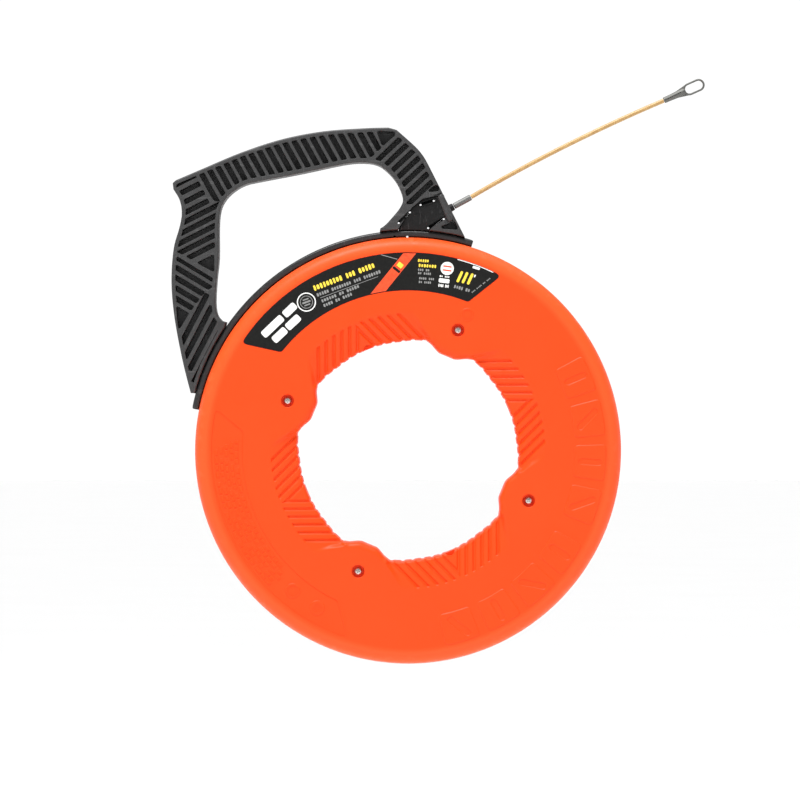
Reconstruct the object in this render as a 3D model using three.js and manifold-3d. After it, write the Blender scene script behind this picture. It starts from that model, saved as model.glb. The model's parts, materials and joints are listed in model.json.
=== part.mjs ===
// Fish tape reel: an orange ring case that turns inside a black handle, with a coil of
// fibreglass tape in the case and a leader rod and pulling eye at the nose.
// Millimetres, +Z up. The reel's axis runs along Y and its front faces -Y.
// The pieces are laid out around the reel's centre, and the whole group is then moved so
// that the origin is the middle of the grip bar.

import * as THREE from "three";
import { mergeVertices } from "three/addons/utils/BufferGeometryUtils.js";
import Module from "manifold-3d";

const wasm = await Module();
wasm.setup();

// ---------- driving dimensions ----------

const GAP = 0.3; // clearance between pieces that touch
const CASE_RADIUS = 152.4; // 12 inch case
const CASE_HALF_DEPTH = 25;
const WALL = 2.8;
const FACE_RADIUS = 142.5; // where the flat face ends and the rounded rim starts
const RIM_START = 12; // height where the rim starts to round, from the middle plane
const HAND_RADIUS = 78; // hand hole
const HAND_ROUNDING = 8;
const CASE_SEGMENTS = 64;
const SLOT_HALF = 3.5; // half width of the gap between the halves at the rim

const LOBE_ANGLE = 67.5; // first of four inward lobes, degrees from +X towards +Z
const LOBE_DEPTH = 4.9;
const SCALLOP_DEPTH = 1.5;

const SCREW_CIRCLE = 93.1;
const SCREW_RADIUS = 1.5;
const SCREW_END = -23.4; // where the thread ends, in front of the middle plane
const SCREW_HEAD_RADIUS = 2.8;
const SCREW_HEAD_HEIGHT = 2.5;
const SCREW_HEAD_BEVEL = 0.7;
const NUT_RADIUS = 3.6; // to the corners
const NUT_HEIGHT = 2.4;
const RECESS_RADIUS = 4.6;
const RECESS_FLOOR = 20;
const BOSS_RADIUS = 6.6;

const LABEL_INNER = 114.5;
const LABEL_OUTER = 141.4;
const LABEL_THICKNESS = 0.3;

const COIL_INNER = 102;
const COIL_OUTER = 136;
const COIL_HALF_WIDTH = 11;
const COIL_CHAMFER = 3;
const TAPE_RADIUS = 1.75;

const CLIP_ANGLE = 202.5; // the clip that holds the tape's inner end
const CLIP_HALF_ANGLE = 5;
const CLIP_RADIUS = 93.5;
const CLIP_INWARD = 5; // reach towards the reel's axis from that radius
const CLIP_OUTWARD = 5.5;
const CLIP_FROM = -5;
const CLIP_TO = 3;
const ANCHOR_SCREW_RADIUS = 1.3;
const ANCHOR_SCREW_END = -14;
const ANCHOR_HEAD_RADIUS = 2.6;
const ANCHOR_HEAD_HEIGHT = 1.6;
const POST_RADIUS = 3.6;

const RAIL_START = 72.7; // degrees
const RAIL_END = 169;
const SADDLE_INNER = 153;
const SADDLE_OUTER = 157.5;
const SADDLE_HALF_WIDTH = 13;
const WEB_HALF_WIDTH = 2.5;
const FLANGE_INNER = 145.6;
const FLANGE_OUTER = 149.2;
const FLANGE_HALF_WIDTH = 8;

const HANDLE_HALF_DEPTH = 15;
const HANDLE_WEB_HALF = 4; // solid middle web behind the pockets
const POCKET_WIDTH = 3.9;
const POCKET_BORDER = 3;

const SEAT_MARGIN = 0.5; // room around the tape guide in the handle
const GUIDE_HALF_DEPTH = 13;

const CHANNEL_RADIUS = 2.6; // passage that the tape runs in
const CHANNEL_START = 10; // along the straight run, from where it leaves the coil
const CHANNEL_END = 120;
const EXIT_ANGLE = 28.4; // degrees above +X
const TAPE_CIRCLE = 138.4; // the straight tape run leaves the coil at this radius
const LEAD_START = 1.5; // along the run, as are the next two
const BUSHING_START = 104.6;
const BUSHING_END = 112;
const BUSHING_RADIUS = 3.4;
const BUSHING_BEVEL = 0.8;
const FERRULE_RADIUS = 2.2;
const FERRULE_LENGTH = 13.7;
const FERRULE_BEVEL = 0.5;
const ROD_RADIUS = 1.6;
const SHANK_START_RADIUS = 2.15; // the eye's shank widens towards its loop
const SHANK_END_RADIUS = 2.85;
const LOOP_RADIUS = 4.7;
const LOOP_HALF_STRAIGHT = 3.4;
const LOOP_HALF_THICKNESS = 1.2;
const LOOP_HOLE_RADIUS = 3.3;
const LOOP_HOLE_HALF_STRAIGHT = 3.4;

const GRIP_CENTRE = [-75, 0, 212]; // middle of the grip bar, from the reel's centre

// ---------- materials ----------

function material(color, roughness, metalness) {
  return new THREE.MeshStandardMaterial({ color, roughness, metalness });
}

const orangePlastic = material(0xff5a2a, 0.5, 0);
const blackNylon = material(0x222222, 0.6, 0);
const labelBlack = material(0x1c1c1a, 0.35, 0);
const steel = material(0x9a9a98, 0.35, 1);
const darkSteel = material(0x6a6b68, 0.4, 1);
const fibreglass = material(0xdcb478, 0.4, 0);

// ---------- helpers ----------

const radians = THREE.MathUtils.degToRad;

function polar(radius, degrees) {
  const angle = radians(degrees);
  return new THREE.Vector2(radius * Math.cos(angle), radius * Math.sin(angle));
}

function toSolid(geometry) {
  const bare = geometry.clone();
  bare.deleteAttribute("normal");
  bare.deleteAttribute("uv");
  const merged = mergeVertices(bare, 1e-4);
  return new wasm.Manifold(
    new wasm.Mesh({
      numProp: 3,
      vertProperties: new Float32Array(merged.attributes.position.array),
      triVerts: new Uint32Array(merged.index.array),
    }),
  );
}

function toGeometry(solid) {
  const mesh = solid.getMesh();
  const geometry = new THREE.BufferGeometry();
  geometry.setAttribute("position", new THREE.BufferAttribute(mesh.vertProperties, 3));
  geometry.setIndex(new THREE.BufferAttribute(mesh.triVerts, 1));
  return geometry;
}

function joinSolids(solids) {
  return solids.reduce((sum, solid) => sum.add(solid));
}

function joined(geometries) {
  return joinSolids(geometries.map(toSolid));
}

function cutBy(solid, geometries) {
  return geometries.map(toSolid).reduce((rest, tool) => rest.subtract(tool), solid);
}

// A flat outline in the X-Z plane, extruded along Y between two distances in front of the
// middle plane (a distance is -Y, so a negative one is behind the plane).
function slab(shape, from, to, curveSegments = 12) {
  const geometry = new THREE.ExtrudeGeometry(shape, {
    depth: to - from,
    bevelEnabled: false,
    curveSegments,
  });
  return geometry.rotateX(Math.PI / 2).translate(0, -from, 0);
}

// A round pin along Y at (x, z), between two distances in front of the middle plane.
function pin(radius, from, to, place, sides = 16) {
  const geometry = new THREE.CylinderGeometry(radius, radius, to - from, sides);
  return geometry.translate(place.x, -(from + to) / 2, place.y);
}

// A closed profile of (radius, distance in front of the middle plane), turned around Y.
function turned(profile, segments) {
  const points = profile.map((p) => new THREE.Vector2(p.x, -p.y));
  if (THREE.ShapeUtils.area(points) < 0) {
    points.reverse();
  }
  points.push(points[0].clone());
  return new THREE.LatheGeometry(points, segments);
}

// A profile of (radius, height) that starts and ends on the axis, turned around the axis
// and laid along a direction in the X-Z plane, with height 0 at the place given.
function turnedAlong(profile, place, degrees, segments = 16) {
  const points = profile.map(([radius, height]) => new THREE.Vector2(radius, height));
  return new THREE.LatheGeometry(points, segments)
    .rotateZ(radians(-90))
    .rotateY(radians(-degrees))
    .translate(place.x, 0, place.y);
}

function ringSector(inner, outer, startDegrees, endDegrees) {
  const shape = new THREE.Shape();
  shape.absarc(0, 0, outer, radians(startDegrees), radians(endDegrees), false);
  shape.absarc(0, 0, inner, radians(endDegrees), radians(startDegrees), true);
  shape.closePath();
  return shape;
}

function polygon(points) {
  return new THREE.Shape(points.map(([x, z]) => new THREE.Vector2(x, z)));
}

// Moves an open line of points sideways: a positive distance is to its right.
function offsetLine(points, distance) {
  return points.map((point, i) => {
    const before = points[Math.max(i - 1, 0)];
    const after = points[Math.min(i + 1, points.length - 1)];
    const along = after.clone().sub(before).normalize();
    return new THREE.Vector2(point.x + along.y * distance, point.y - along.x * distance);
  });
}

// ---------- case ----------

// How far the hand hole's wall stands out (or in, negative) at an angle in degrees.
function handHoleOffset(degrees) {
  const turn = THREE.MathUtils.euclideanModulo(degrees - LOBE_ANGLE + 45, 90) - 45;
  const away = Math.abs(turn);
  const lobe = LOBE_DEPTH * (1 - THREE.MathUtils.smoothstep(away, 4, 13));
  const fromScallop = Math.min(Math.abs(away - 15) / 14, 1);
  return (SCALLOP_DEPTH * (1 + Math.cos(Math.PI * fromScallop))) / 2 - lobe;
}

function shellProfile() {
  const inside = CASE_HALF_DEPTH - WALL;
  const path = new THREE.Path();
  path.moveTo(CASE_RADIUS, SLOT_HALF);
  path.lineTo(CASE_RADIUS, RIM_START);
  path.quadraticCurveTo(CASE_RADIUS, CASE_HALF_DEPTH, FACE_RADIUS, CASE_HALF_DEPTH);
  path.lineTo(HAND_RADIUS + HAND_ROUNDING, CASE_HALF_DEPTH);
  path.quadraticCurveTo(HAND_RADIUS, CASE_HALF_DEPTH, HAND_RADIUS, CASE_HALF_DEPTH - HAND_ROUNDING);
  path.lineTo(HAND_RADIUS, GAP / 2);
  path.lineTo(HAND_RADIUS + WALL, GAP / 2);
  path.lineTo(HAND_RADIUS + WALL, CASE_HALF_DEPTH - HAND_ROUNDING);
  path.quadraticCurveTo(HAND_RADIUS + WALL, inside, HAND_RADIUS + HAND_ROUNDING, inside);
  path.lineTo(FACE_RADIUS, inside);
  path.quadraticCurveTo(CASE_RADIUS - WALL, inside, CASE_RADIUS - WALL, RIM_START);
  path.lineTo(CASE_RADIUS - WALL, SLOT_HALF);
  return path.getPoints(3);
}

// The front half has side 1 and the rear half side -1.
function shellRing(side) {
  const profile = shellProfile().map((p) => new THREE.Vector2(p.x, side * p.y));
  const ring = turned(profile, CASE_SEGMENTS);
  const position = ring.attributes.position;
  const fadeEnd = HAND_RADIUS + HAND_ROUNDING + 2;
  for (let i = 0; i < position.count; i += 1) {
    const x = position.getX(i);
    const z = position.getZ(i);
    const radius = Math.hypot(x, z);
    const share = THREE.MathUtils.clamp((fadeEnd - radius) / (fadeEnd - HAND_RADIUS - WALL), 0, 1);
    const degrees = THREE.MathUtils.radToDeg(Math.atan2(z, x));
    const scale = 1 + (handHoleOffset(degrees) * share) / radius;
    position.setX(i, x * scale);
    position.setZ(i, z * scale);
  }
  return ring;
}

const screwPlaces = [0, 1, 2, 3].map((k) => polar(SCREW_CIRCLE, LOBE_ANGLE - 90 * k));

// Pins with ends given from the middle plane outwards on the shell's own side.
function sidePin(side, radius, from, to, place) {
  return pin(radius, Math.min(side * from, side * to), Math.max(side * from, side * to), place);
}

function shell(side, extraPosts, extraCuts) {
  const bosses = screwPlaces.map((place) =>
    sidePin(side, BOSS_RADIUS, GAP / 2, CASE_HALF_DEPTH - WALL / 2, place),
  );
  const recesses = screwPlaces.map((place) =>
    sidePin(side, RECESS_RADIUS, RECESS_FLOOR, CASE_HALF_DEPTH + 1, place),
  );
  const bores = screwPlaces.map((place) =>
    sidePin(side, SCREW_RADIUS + GAP, -1, RECESS_FLOOR + 1, place),
  );
  const body = joined([shellRing(side), ...bosses, ...extraPosts]);
  return toGeometry(cutBy(body, [...recesses, ...bores, ...extraCuts]));
}

// The label's outline, grown all round by a margin.
function labelOutline(margin) {
  const inner = LABEL_INNER - margin;
  const outer = LABEL_OUTER + margin;
  const grow = THREE.MathUtils.radToDeg(margin / LABEL_INNER);
  const shape = new THREE.Shape();
  shape.absarc(0, 0, outer, radians(63 - grow), radians(147.2 + grow), false);
  shape.absarc(0, 0, inner, radians(142.1 + grow), radians(68.6 - grow), true);
  shape.closePath();
  return shape;
}

const labelTop = CASE_HALF_DEPTH - 0.1;
const labelBottom = labelTop - LABEL_THICKNESS;
const labelGeometry = slab(labelOutline(0), labelBottom, labelTop);
const labelRecess = slab(labelOutline(GAP), labelBottom - GAP, CASE_HALF_DEPTH + 1);

function caseScrew(place) {
  const head = RECESS_FLOOR + GAP;
  const profile = [
    [0, SCREW_END],
    [SCREW_RADIUS, SCREW_END],
    [SCREW_RADIUS, head],
    [SCREW_HEAD_RADIUS, head],
    [SCREW_HEAD_RADIUS, head + SCREW_HEAD_HEIGHT - SCREW_HEAD_BEVEL],
    [SCREW_HEAD_RADIUS - SCREW_HEAD_BEVEL, head + SCREW_HEAD_HEIGHT],
    [0, head + SCREW_HEAD_HEIGHT],
  ];
  const points = profile.map(([radius, height]) => new THREE.Vector2(radius, height));
  // the lathe's +Y is turned to face the front
  return new THREE.LatheGeometry(points, 12).rotateX(Math.PI).translate(place.x, 0, place.y);
}

function caseNut(place) {
  const shape = new THREE.Shape([0, 1, 2, 3, 4, 5].map((k) => polar(NUT_RADIUS, 60 * k)));
  shape.holes.push(new THREE.Path().absarc(0, 0, SCREW_RADIUS + GAP, 0, 2 * Math.PI, true));
  const bottom = RECESS_FLOOR + GAP;
  return slab(shape, -bottom - NUT_HEIGHT, -bottom, 6).translate(place.x, 0, place.y);
}

// The clip sits on a post of the rear shell.
const clipPlace = polar(CLIP_RADIUS, CLIP_ANGLE);
const clipPost = pin(POST_RADIUS, -(CASE_HALF_DEPTH - WALL / 2), CLIP_FROM - GAP, clipPlace);
const clipPostBore = clipPin(ANCHOR_SCREW_END - 2, CLIP_FROM + 1);

// The passage of the clip's screw, between two distances in front of the middle plane.
function clipPin(from, to) {
  return pin(ANCHOR_SCREW_RADIUS + GAP, from, to, clipPlace, 12);
}

function anchorClip() {
  const shape = new THREE.Shape();
  const start = radians(CLIP_ANGLE - CLIP_HALF_ANGLE);
  const end = radians(CLIP_ANGLE + CLIP_HALF_ANGLE);
  shape.absarc(0, 0, CLIP_RADIUS + CLIP_OUTWARD, start, end, false);
  shape.absarc(0, 0, CLIP_RADIUS - CLIP_INWARD, end, start, true);
  shape.closePath();
  const block = toSolid(slab(shape, CLIP_FROM, CLIP_TO, 2));
  return toGeometry(cutBy(block, [clipPin(CLIP_FROM - 1, CLIP_TO + 1)]));
}

function anchorScrew() {
  const head = CLIP_TO + GAP;
  const profile = [
    [0, ANCHOR_SCREW_END],
    [ANCHOR_SCREW_RADIUS, ANCHOR_SCREW_END],
    [ANCHOR_SCREW_RADIUS, head],
    [ANCHOR_HEAD_RADIUS, head],
    [ANCHOR_HEAD_RADIUS, head + ANCHOR_HEAD_HEIGHT],
    [0, head + ANCHOR_HEAD_HEIGHT],
  ];
  const points = profile.map(([radius, height]) => new THREE.Vector2(radius, height));
  return new THREE.LatheGeometry(points, 12)
    .rotateX(Math.PI)
    .translate(clipPlace.x, 0, clipPlace.y);
}

// The wound tape as one ring with chamfered edges.
function coilRing() {
  const profile = [
    new THREE.Vector2(COIL_INNER, -COIL_HALF_WIDTH),
    new THREE.Vector2(COIL_OUTER - COIL_CHAMFER, -COIL_HALF_WIDTH),
    new THREE.Vector2(COIL_OUTER, COIL_CHAMFER - COIL_HALF_WIDTH),
    new THREE.Vector2(COIL_OUTER, COIL_HALF_WIDTH - COIL_CHAMFER),
    new THREE.Vector2(COIL_OUTER - COIL_CHAMFER, COIL_HALF_WIDTH),
    new THREE.Vector2(COIL_INNER, COIL_HALF_WIDTH),
  ];
  return turned(profile, 48);
}

// ---------- straight tape run ----------

// The run leaves the coil at this point, at a right angle to the coil's radius.
const runStart = polar(TAPE_CIRCLE, EXIT_ANGLE + 90);

function alongRun(distance) {
  return runStart.clone().add(polar(distance, EXIT_ANGLE));
}

// A plain round bar on the line of the run, between two distances along it.
function runBar(radius, from, to, segments = 12) {
  const profile = [
    [0, 0],
    [radius, 0],
    [radius, to - from],
    [0, to - from],
  ];
  return turnedAlong(profile, alongRun(from), EXIT_ANGLE, segments);
}

const tapeChannel = runBar(CHANNEL_RADIUS, CHANNEL_START, CHANNEL_END);

// ---------- handle ----------

const FOOT_RADIUS = SADDLE_OUTER + GAP;

// Outer edge, from the left foot over the grip bar to the right foot.
const leftEdge = [
  [-155.5, 41],
  [-161.3, 64],
  [-167, 94],
  [-169.3, 120],
  [-167.8, 144],
  [-163.7, 159.2],
  [-161.9, 169.4],
  [-163.4, 179],
  [-168.7, 188],
];
const topEdge = [
  [-166.2, 193.4],
  [-148.4, 201],
  [-119.2, 213.3],
  [-90, 222.8],
  [-60.7, 228.4],
  [-31.5, 230.6],
  [-14, 231.1],
];
const rightEdge = [
  [-8.1, 229.4],
  [5, 217.7],
  [10.9, 210.8],
  [15.3, 203.1],
];
const rightFootCorner = polar(FOOT_RADIUS, 75);

// Inner edge of the finger opening, from the right foot over the top to the left foot.
const windowEdge = [
  [-21.4, 158.1],
  [-16.3, 161.4],
  [-10.8, 167.4],
  [-6.1, 173.2],
  [-3.7, 179],
  [-5.3, 186],
  [-9, 193],
  [-14.5, 199.3],
  [-21.5, 204.3],
  [-31.5, 206],
  [-46, 204.8],
  [-75, 198.6],
  [-104.6, 192.9],
  [-116.3, 190.2],
  [-124.5, 185.5],
  [-130.5, 179.5],
  [-134, 172],
  [-135.2, 160],
  [-135.2, 138],
  [-136.8, 122],
  [-137.6, 106],
  [-136.3, 97.5],
  [-133, 93],
  [-128.6, 91.8],
];

function smoothLine(points, stepsPerPoint) {
  const curve = new THREE.SplineCurve(points.map(([x, z]) => new THREE.Vector2(x, z)));
  return curve.getPoints(points.length * stepsPerPoint);
}

const outerLine = [
  ...smoothLine(leftEdge, 2),
  new THREE.Vector2(-168.4, 191.3),
  ...smoothLine(topEdge, 1),
  ...smoothLine(rightEdge, 2),
  rightFootCorner,
];
const windowLine = smoothLine(windowEdge, 1);

function arcPoints(radius, fromDegrees, toDegrees, count) {
  return Array.from({ length: count + 1 }, (_, i) =>
    polar(radius, fromDegrees + ((toDegrees - fromDegrees) * i) / count),
  );
}

const handleOutline = new THREE.Shape([
  ...outerLine,
  ...arcPoints(FOOT_RADIUS, 75.5, 97.6, 6),
  ...windowLine,
  ...arcPoints(FOOT_RADIUS, 144.6, 165.6, 6),
]);

// The area that pockets may fill: the handle less a border.
const pocketArea = new THREE.Shape([
  ...offsetLine(outerLine, POCKET_BORDER),
  ...offsetLine(windowLine, POCKET_BORDER),
  ...arcPoints(FOOT_RADIUS + POCKET_BORDER, 147.5, 162, 4),
]);

// Pockets come in families of parallel strips at one angle. Their centres are spread from
// the first to the last, and the zone is where that family's strips stay.
const pocketFamilies = [
  {
    name: "grip bar",
    angle: -61,
    first: [-139.8, 183.9],
    last: [-19.8, 213.6],
    count: 20,
    halfLength: 24,
    zone: [
      [-156, 204],
      [-138.6, 178.5],
      [-125, 176],
      [-38, 199],
      [-8, 226.2],
      [-8, 240],
      [-156, 240],
    ],
  },
  {
    name: "right leg",
    angle: 43,
    first: [-13.5, 215.4],
    last: [9.6, 185.1],
    count: 7,
    halfLength: 24,
    zone: [
      [-60, 176],
      [60, 176],
      [60, 240],
      [-60, 240],
    ],
  },
  {
    name: "left corner",
    angle: 27,
    first: [-159.4, 193.3],
    last: [-151.4, 174.2],
    count: 4,
    halfLength: 20,
    zone: [
      [-175, 160],
      [-141, 174],
      [-141.5, 176.3],
      [-153, 199.5],
      [-175, 203],
    ],
  },
  {
    name: "left leg top",
    angle: 27,
    first: [-149.2, 168.7],
    last: [-148, 142.3],
    count: 5,
    halfLength: 22,
    zone: [
      [-175, 150],
      [-164.5, 141.6],
      [-136, 126.3],
      [-125, 126],
      [-125, 185],
      [-175, 165],
    ],
  },
  {
    name: "left leg middle",
    angle: -31,
    first: [-152.5, 130.3],
    last: [-160.7, 105.6],
    count: 5,
    halfLength: 20,
    zone: [
      [-175, 145],
      [-175, 90],
      [-158.5, 95.5],
      [-145, 113.5],
      [-139.5, 116.5],
      [-136, 121],
    ],
  },
  {
    name: "left foot",
    angle: 62.5,
    first: [-153.2, 93.5],
    last: [-143.6, 67.2],
    count: 4,
    halfLength: 21,
    zone: [
      [-175, 40],
      [-120, 40],
      [-120, 120],
      [-175, 120],
    ],
  },
];

// Corner pockets that fill the spaces between the families.
const cornerPockets = [
  [
    [-22, 227.4],
    [-19, 218.8],
    [-17.5, 218],
    [-9.4, 225.3],
    [-9.4, 228],
    [-21.5, 228.6],
  ],
  [
    [-151.4, 134.3],
    [-138.6, 127.3],
    [-138.6, 140.5],
  ],
  [
    [-166, 103.8],
    [-164.1, 85.4],
    [-156.6, 98.2],
  ],
  [
    [14.5, 186],
    [15.5, 184.8],
    [21.2, 185.3],
    [22.6, 187.2],
    [20.8, 190],
    [18, 189],
  ],
  [
    [24.5, 160.8],
    [32.2, 157],
    [35.8, 157.4],
    [32.9, 164.8],
  ],
];

function strip(centre, angle, halfLength) {
  const along = polar(halfLength, angle);
  const across = polar(POCKET_WIDTH / 2, angle + 90);
  const corner = (a, b) =>
    new THREE.Vector2(
      centre.x + a * along.x + b * across.x,
      centre.y + a * along.y + b * across.y,
    );
  return new THREE.Shape([corner(-1, -1), corner(1, -1), corner(1, 1), corner(-1, 1)]);
}

function familyPockets(family, from, to) {
  const first = new THREE.Vector2(...family.first);
  const last = new THREE.Vector2(...family.last);
  const strips = [];
  for (let k = 0; k < family.count; k += 1) {
    const centre = first.clone().lerp(last, k / (family.count - 1));
    strips.push(slab(strip(centre, family.angle, family.halfLength), from, to));
  }
  return joined(strips).intersect(toSolid(slab(polygon(family.zone), from - 1, to + 1)));
}

function pockets(from, to) {
  const area = toSolid(slab(pocketArea, from, to));
  const strips = pocketFamilies.map((family) => familyPockets(family, from, to));
  const corners = cornerPockets.map((points) => toSolid(slab(polygon(points), from, to)));
  return strips.reduce((sum, solid) => sum.add(solid), joinSolids(corners)).intersect(area);
}

// Outline of the tape guide, seen from the front, and the seat around it in the handle.
const guidePoints = [
  [-7.5, 158.3],
  [14.5, 158.3],
  [26.4, 167.5],
  [22, 182.5],
  [10.7, 180.1],
  [2.8, 173.7],
];
const guideCentre = new THREE.Vector2(9, 169);

// The seat is open towards the rail.
const guideMouth = [
  [-8, 150],
  [15, 150],
  [15, 160],
  [-7, 160],
];

// The guide's outline with every corner pushed away from its centre.
function guideOutline(margin) {
  const points = guidePoints.map(([x, z]) => {
    const corner = new THREE.Vector2(x, z);
    const outward = corner.clone().sub(guideCentre).normalize();
    return corner.add(outward.multiplyScalar(margin));
  });
  return new THREE.Shape(points);
}

function handleBody() {
  const blank = toSolid(slab(handleOutline, -HANDLE_HALF_DEPTH, HANDLE_HALF_DEPTH));
  const front = pockets(HANDLE_WEB_HALF, HANDLE_HALF_DEPTH + 1);
  const rear = pockets(-HANDLE_HALF_DEPTH - 1, -HANDLE_WEB_HALF);
  const seat = slab(guideOutline(SEAT_MARGIN), -HANDLE_HALF_DEPTH - 1, HANDLE_HALF_DEPTH + 1);
  const seatMouth = slab(polygon(guideMouth), -HANDLE_HALF_DEPTH - 1, HANDLE_HALF_DEPTH + 1);
  const bushingSeat = runBar(BUSHING_RADIUS + GAP, BUSHING_START - 8, BUSHING_END + 8, 16);
  return toGeometry(cutBy(blank.subtract(front).subtract(rear), [seat, seatMouth, bushingSeat]));
}

function guideRail() {
  const saddle = ringSector(SADDLE_INNER, SADDLE_OUTER, RAIL_START, RAIL_END);
  const web = ringSector(FLANGE_OUTER - 1, SADDLE_INNER + 1, RAIL_START, RAIL_END);
  const flange = ringSector(FLANGE_INNER, FLANGE_OUTER, RAIL_START, RAIL_END);
  const body = joined([
    slab(saddle, -SADDLE_HALF_WIDTH, SADDLE_HALF_WIDTH),
    slab(web, -WEB_HALF_WIDTH, WEB_HALF_WIDTH),
    slab(flange, -FLANGE_HALF_WIDTH, FLANGE_HALF_WIDTH),
  ]);
  return toGeometry(cutBy(body, [tapeChannel]));
}

// The guide's halves meet at the middle plane around the tape.
function guideHalf(from, to) {
  return toGeometry(cutBy(toSolid(slab(guideOutline(0), from, to)), [tapeChannel]));
}

function noseBushing() {
  const length = BUSHING_END - BUSHING_START;
  const bore = TAPE_RADIUS + GAP;
  const profile = [
    [bore, 0],
    [BUSHING_RADIUS, 0],
    [BUSHING_RADIUS, length - BUSHING_BEVEL],
    [BUSHING_RADIUS - BUSHING_BEVEL, length],
    [bore, length],
    [bore, 0],
  ];
  return turnedAlong(profile, alongRun(BUSHING_START), EXIT_ANGLE);
}

// ---------- leader and pulling eye ----------

function leaderFerrule() {
  const profile = [
    [0, 0],
    [FERRULE_RADIUS - FERRULE_BEVEL, 0],
    [FERRULE_RADIUS, FERRULE_BEVEL],
    [FERRULE_RADIUS, FERRULE_LENGTH - FERRULE_BEVEL],
    [FERRULE_RADIUS - FERRULE_BEVEL, FERRULE_LENGTH],
    [0, FERRULE_LENGTH],
  ];
  return turnedAlong(profile, alongRun(BUSHING_END + GAP), EXIT_ANGLE, 12);
}

// The rod stands out of the ferrule in a slight bow.
const rodStart = alongRun(BUSHING_END + FERRULE_LENGTH + 2 * GAP);
const rodEnd = new THREE.Vector2(183.4, 251);
const ROD_START_ANGLE = 30.5;
const ROD_END_ANGLE = 23;
const ROD_HANDLE = 50; // reach of the bow's tangents

function leaderRod() {
  const bowStart = rodStart.clone().add(polar(ROD_HANDLE, ROD_START_ANGLE));
  const bowEnd = rodEnd.clone().sub(polar(ROD_HANDLE, ROD_END_ANGLE));
  const [a, b, c, d] = [rodStart, bowStart, bowEnd, rodEnd].map(
    (p) => new THREE.Vector3(p.x, 0, p.y),
  );
  const circle = new THREE.Shape(Array.from({ length: 8 }, (_, k) => polar(ROD_RADIUS, 45 * k)));
  return new THREE.ExtrudeGeometry(circle, {
    steps: 18,
    bevelEnabled: false,
    extrudePath: new THREE.CubicBezierCurve3(a, b, c, d),
  });
}

// The eye is a stamped piece: a round shank that widens into a long flat loop.
const EYE_ANGLE = 24;
const SHANK_LENGTH = 16.4;
const LOOP_CENTRE = 23.5; // from the shank's end
const eyeStart = rodEnd.clone().add(polar(GAP, ROD_END_ANGLE));

// A long round-ended outline around the loop's centre, along the eye's direction.
function loopOutline(radius, halfStraight) {
  const shape = new THREE.Shape();
  const centre = LOOP_CENTRE;
  shape.absarc(centre + halfStraight, 0, radius, -Math.PI / 2, Math.PI / 2, false);
  shape.absarc(centre - halfStraight, 0, radius, Math.PI / 2, -Math.PI / 2, false);
  shape.closePath();
  return shape;
}

function pullingEye() {
  const shank = turnedAlong(
    [
      [0, 0],
      [SHANK_START_RADIUS, 0],
      [SHANK_END_RADIUS, SHANK_LENGTH],
      [0, SHANK_LENGTH],
    ],
    eyeStart,
    EYE_ANGLE,
    12,
  );
  const place = (geometry) =>
    geometry.rotateY(radians(-EYE_ANGLE)).translate(eyeStart.x, 0, eyeStart.y);
  const outline = loopOutline(LOOP_RADIUS, LOOP_HALF_STRAIGHT);
  const plate = place(slab(outline, -LOOP_HALF_THICKNESS, LOOP_HALF_THICKNESS, 6));
  const opening = loopOutline(LOOP_HOLE_RADIUS, LOOP_HOLE_HALF_STRAIGHT);
  const hole = place(slab(opening, -LOOP_RADIUS, LOOP_RADIUS, 6));
  return toGeometry(cutBy(joined([shank, plate]), [hole]));
}

// ---------- assembly ----------

const reel = new THREE.Group();

function addPiece(name, geometry, pieceMaterial) {
  const mesh = new THREE.Mesh(geometry, pieceMaterial);
  mesh.name = name;
  reel.add(mesh);
}

addPiece("case_front_shell", shell(1, [], [labelRecess]), orangePlastic);
addPiece("case_rear_shell", shell(-1, [clipPost], [clipPostBore]), orangePlastic);
addPiece("case_label", labelGeometry, labelBlack);
screwPlaces.forEach((place, k) => {
  addPiece(`case_screw_${k + 1}`, caseScrew(place), steel);
  addPiece(`case_nut_${k + 1}`, caseNut(place), steel);
});
addPiece("tape_anchor_clip", anchorClip(), blackNylon);
addPiece("tape_anchor_screw", anchorScrew(), steel);
addPiece("tape_coil", coilRing(), fibreglass);
addPiece("handle_body", handleBody(), blackNylon);
addPiece("guide_rail", guideRail(), blackNylon);
addPiece("tape_guide_front", guideHalf(GAP / 2, GUIDE_HALF_DEPTH), blackNylon);
addPiece("tape_guide_rear", guideHalf(-GUIDE_HALF_DEPTH, -GAP / 2), blackNylon);
addPiece("nose_bushing", noseBushing(), blackNylon);
addPiece("tape_lead", runBar(TAPE_RADIUS, LEAD_START, BUSHING_END), fibreglass);
addPiece("leader_ferrule", leaderFerrule(), darkSteel);
addPiece("leader_rod", leaderRod(), fibreglass);
addPiece("pulling_eye", pullingEye(), darkSteel);

reel.position.set(-GRIP_CENTRE[0], -GRIP_CENTRE[1], -GRIP_CENTRE[2]);

const fishTapeReel = new THREE.Group();
fishTapeReel.add(reel);

export default fishTapeReel;
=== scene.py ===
"""Fish tape reel: the looks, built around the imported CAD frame.

Shapes are worked out in the reel's own millimetres: x to the right and z up from the
reel's centre, and front, the distance in front of the middle plane. to_row() turns such a
point into a point of the row frame, in metres.
"""

import json
import math

import bmesh
import bpy
from mathutils import Matrix, Vector


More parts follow.
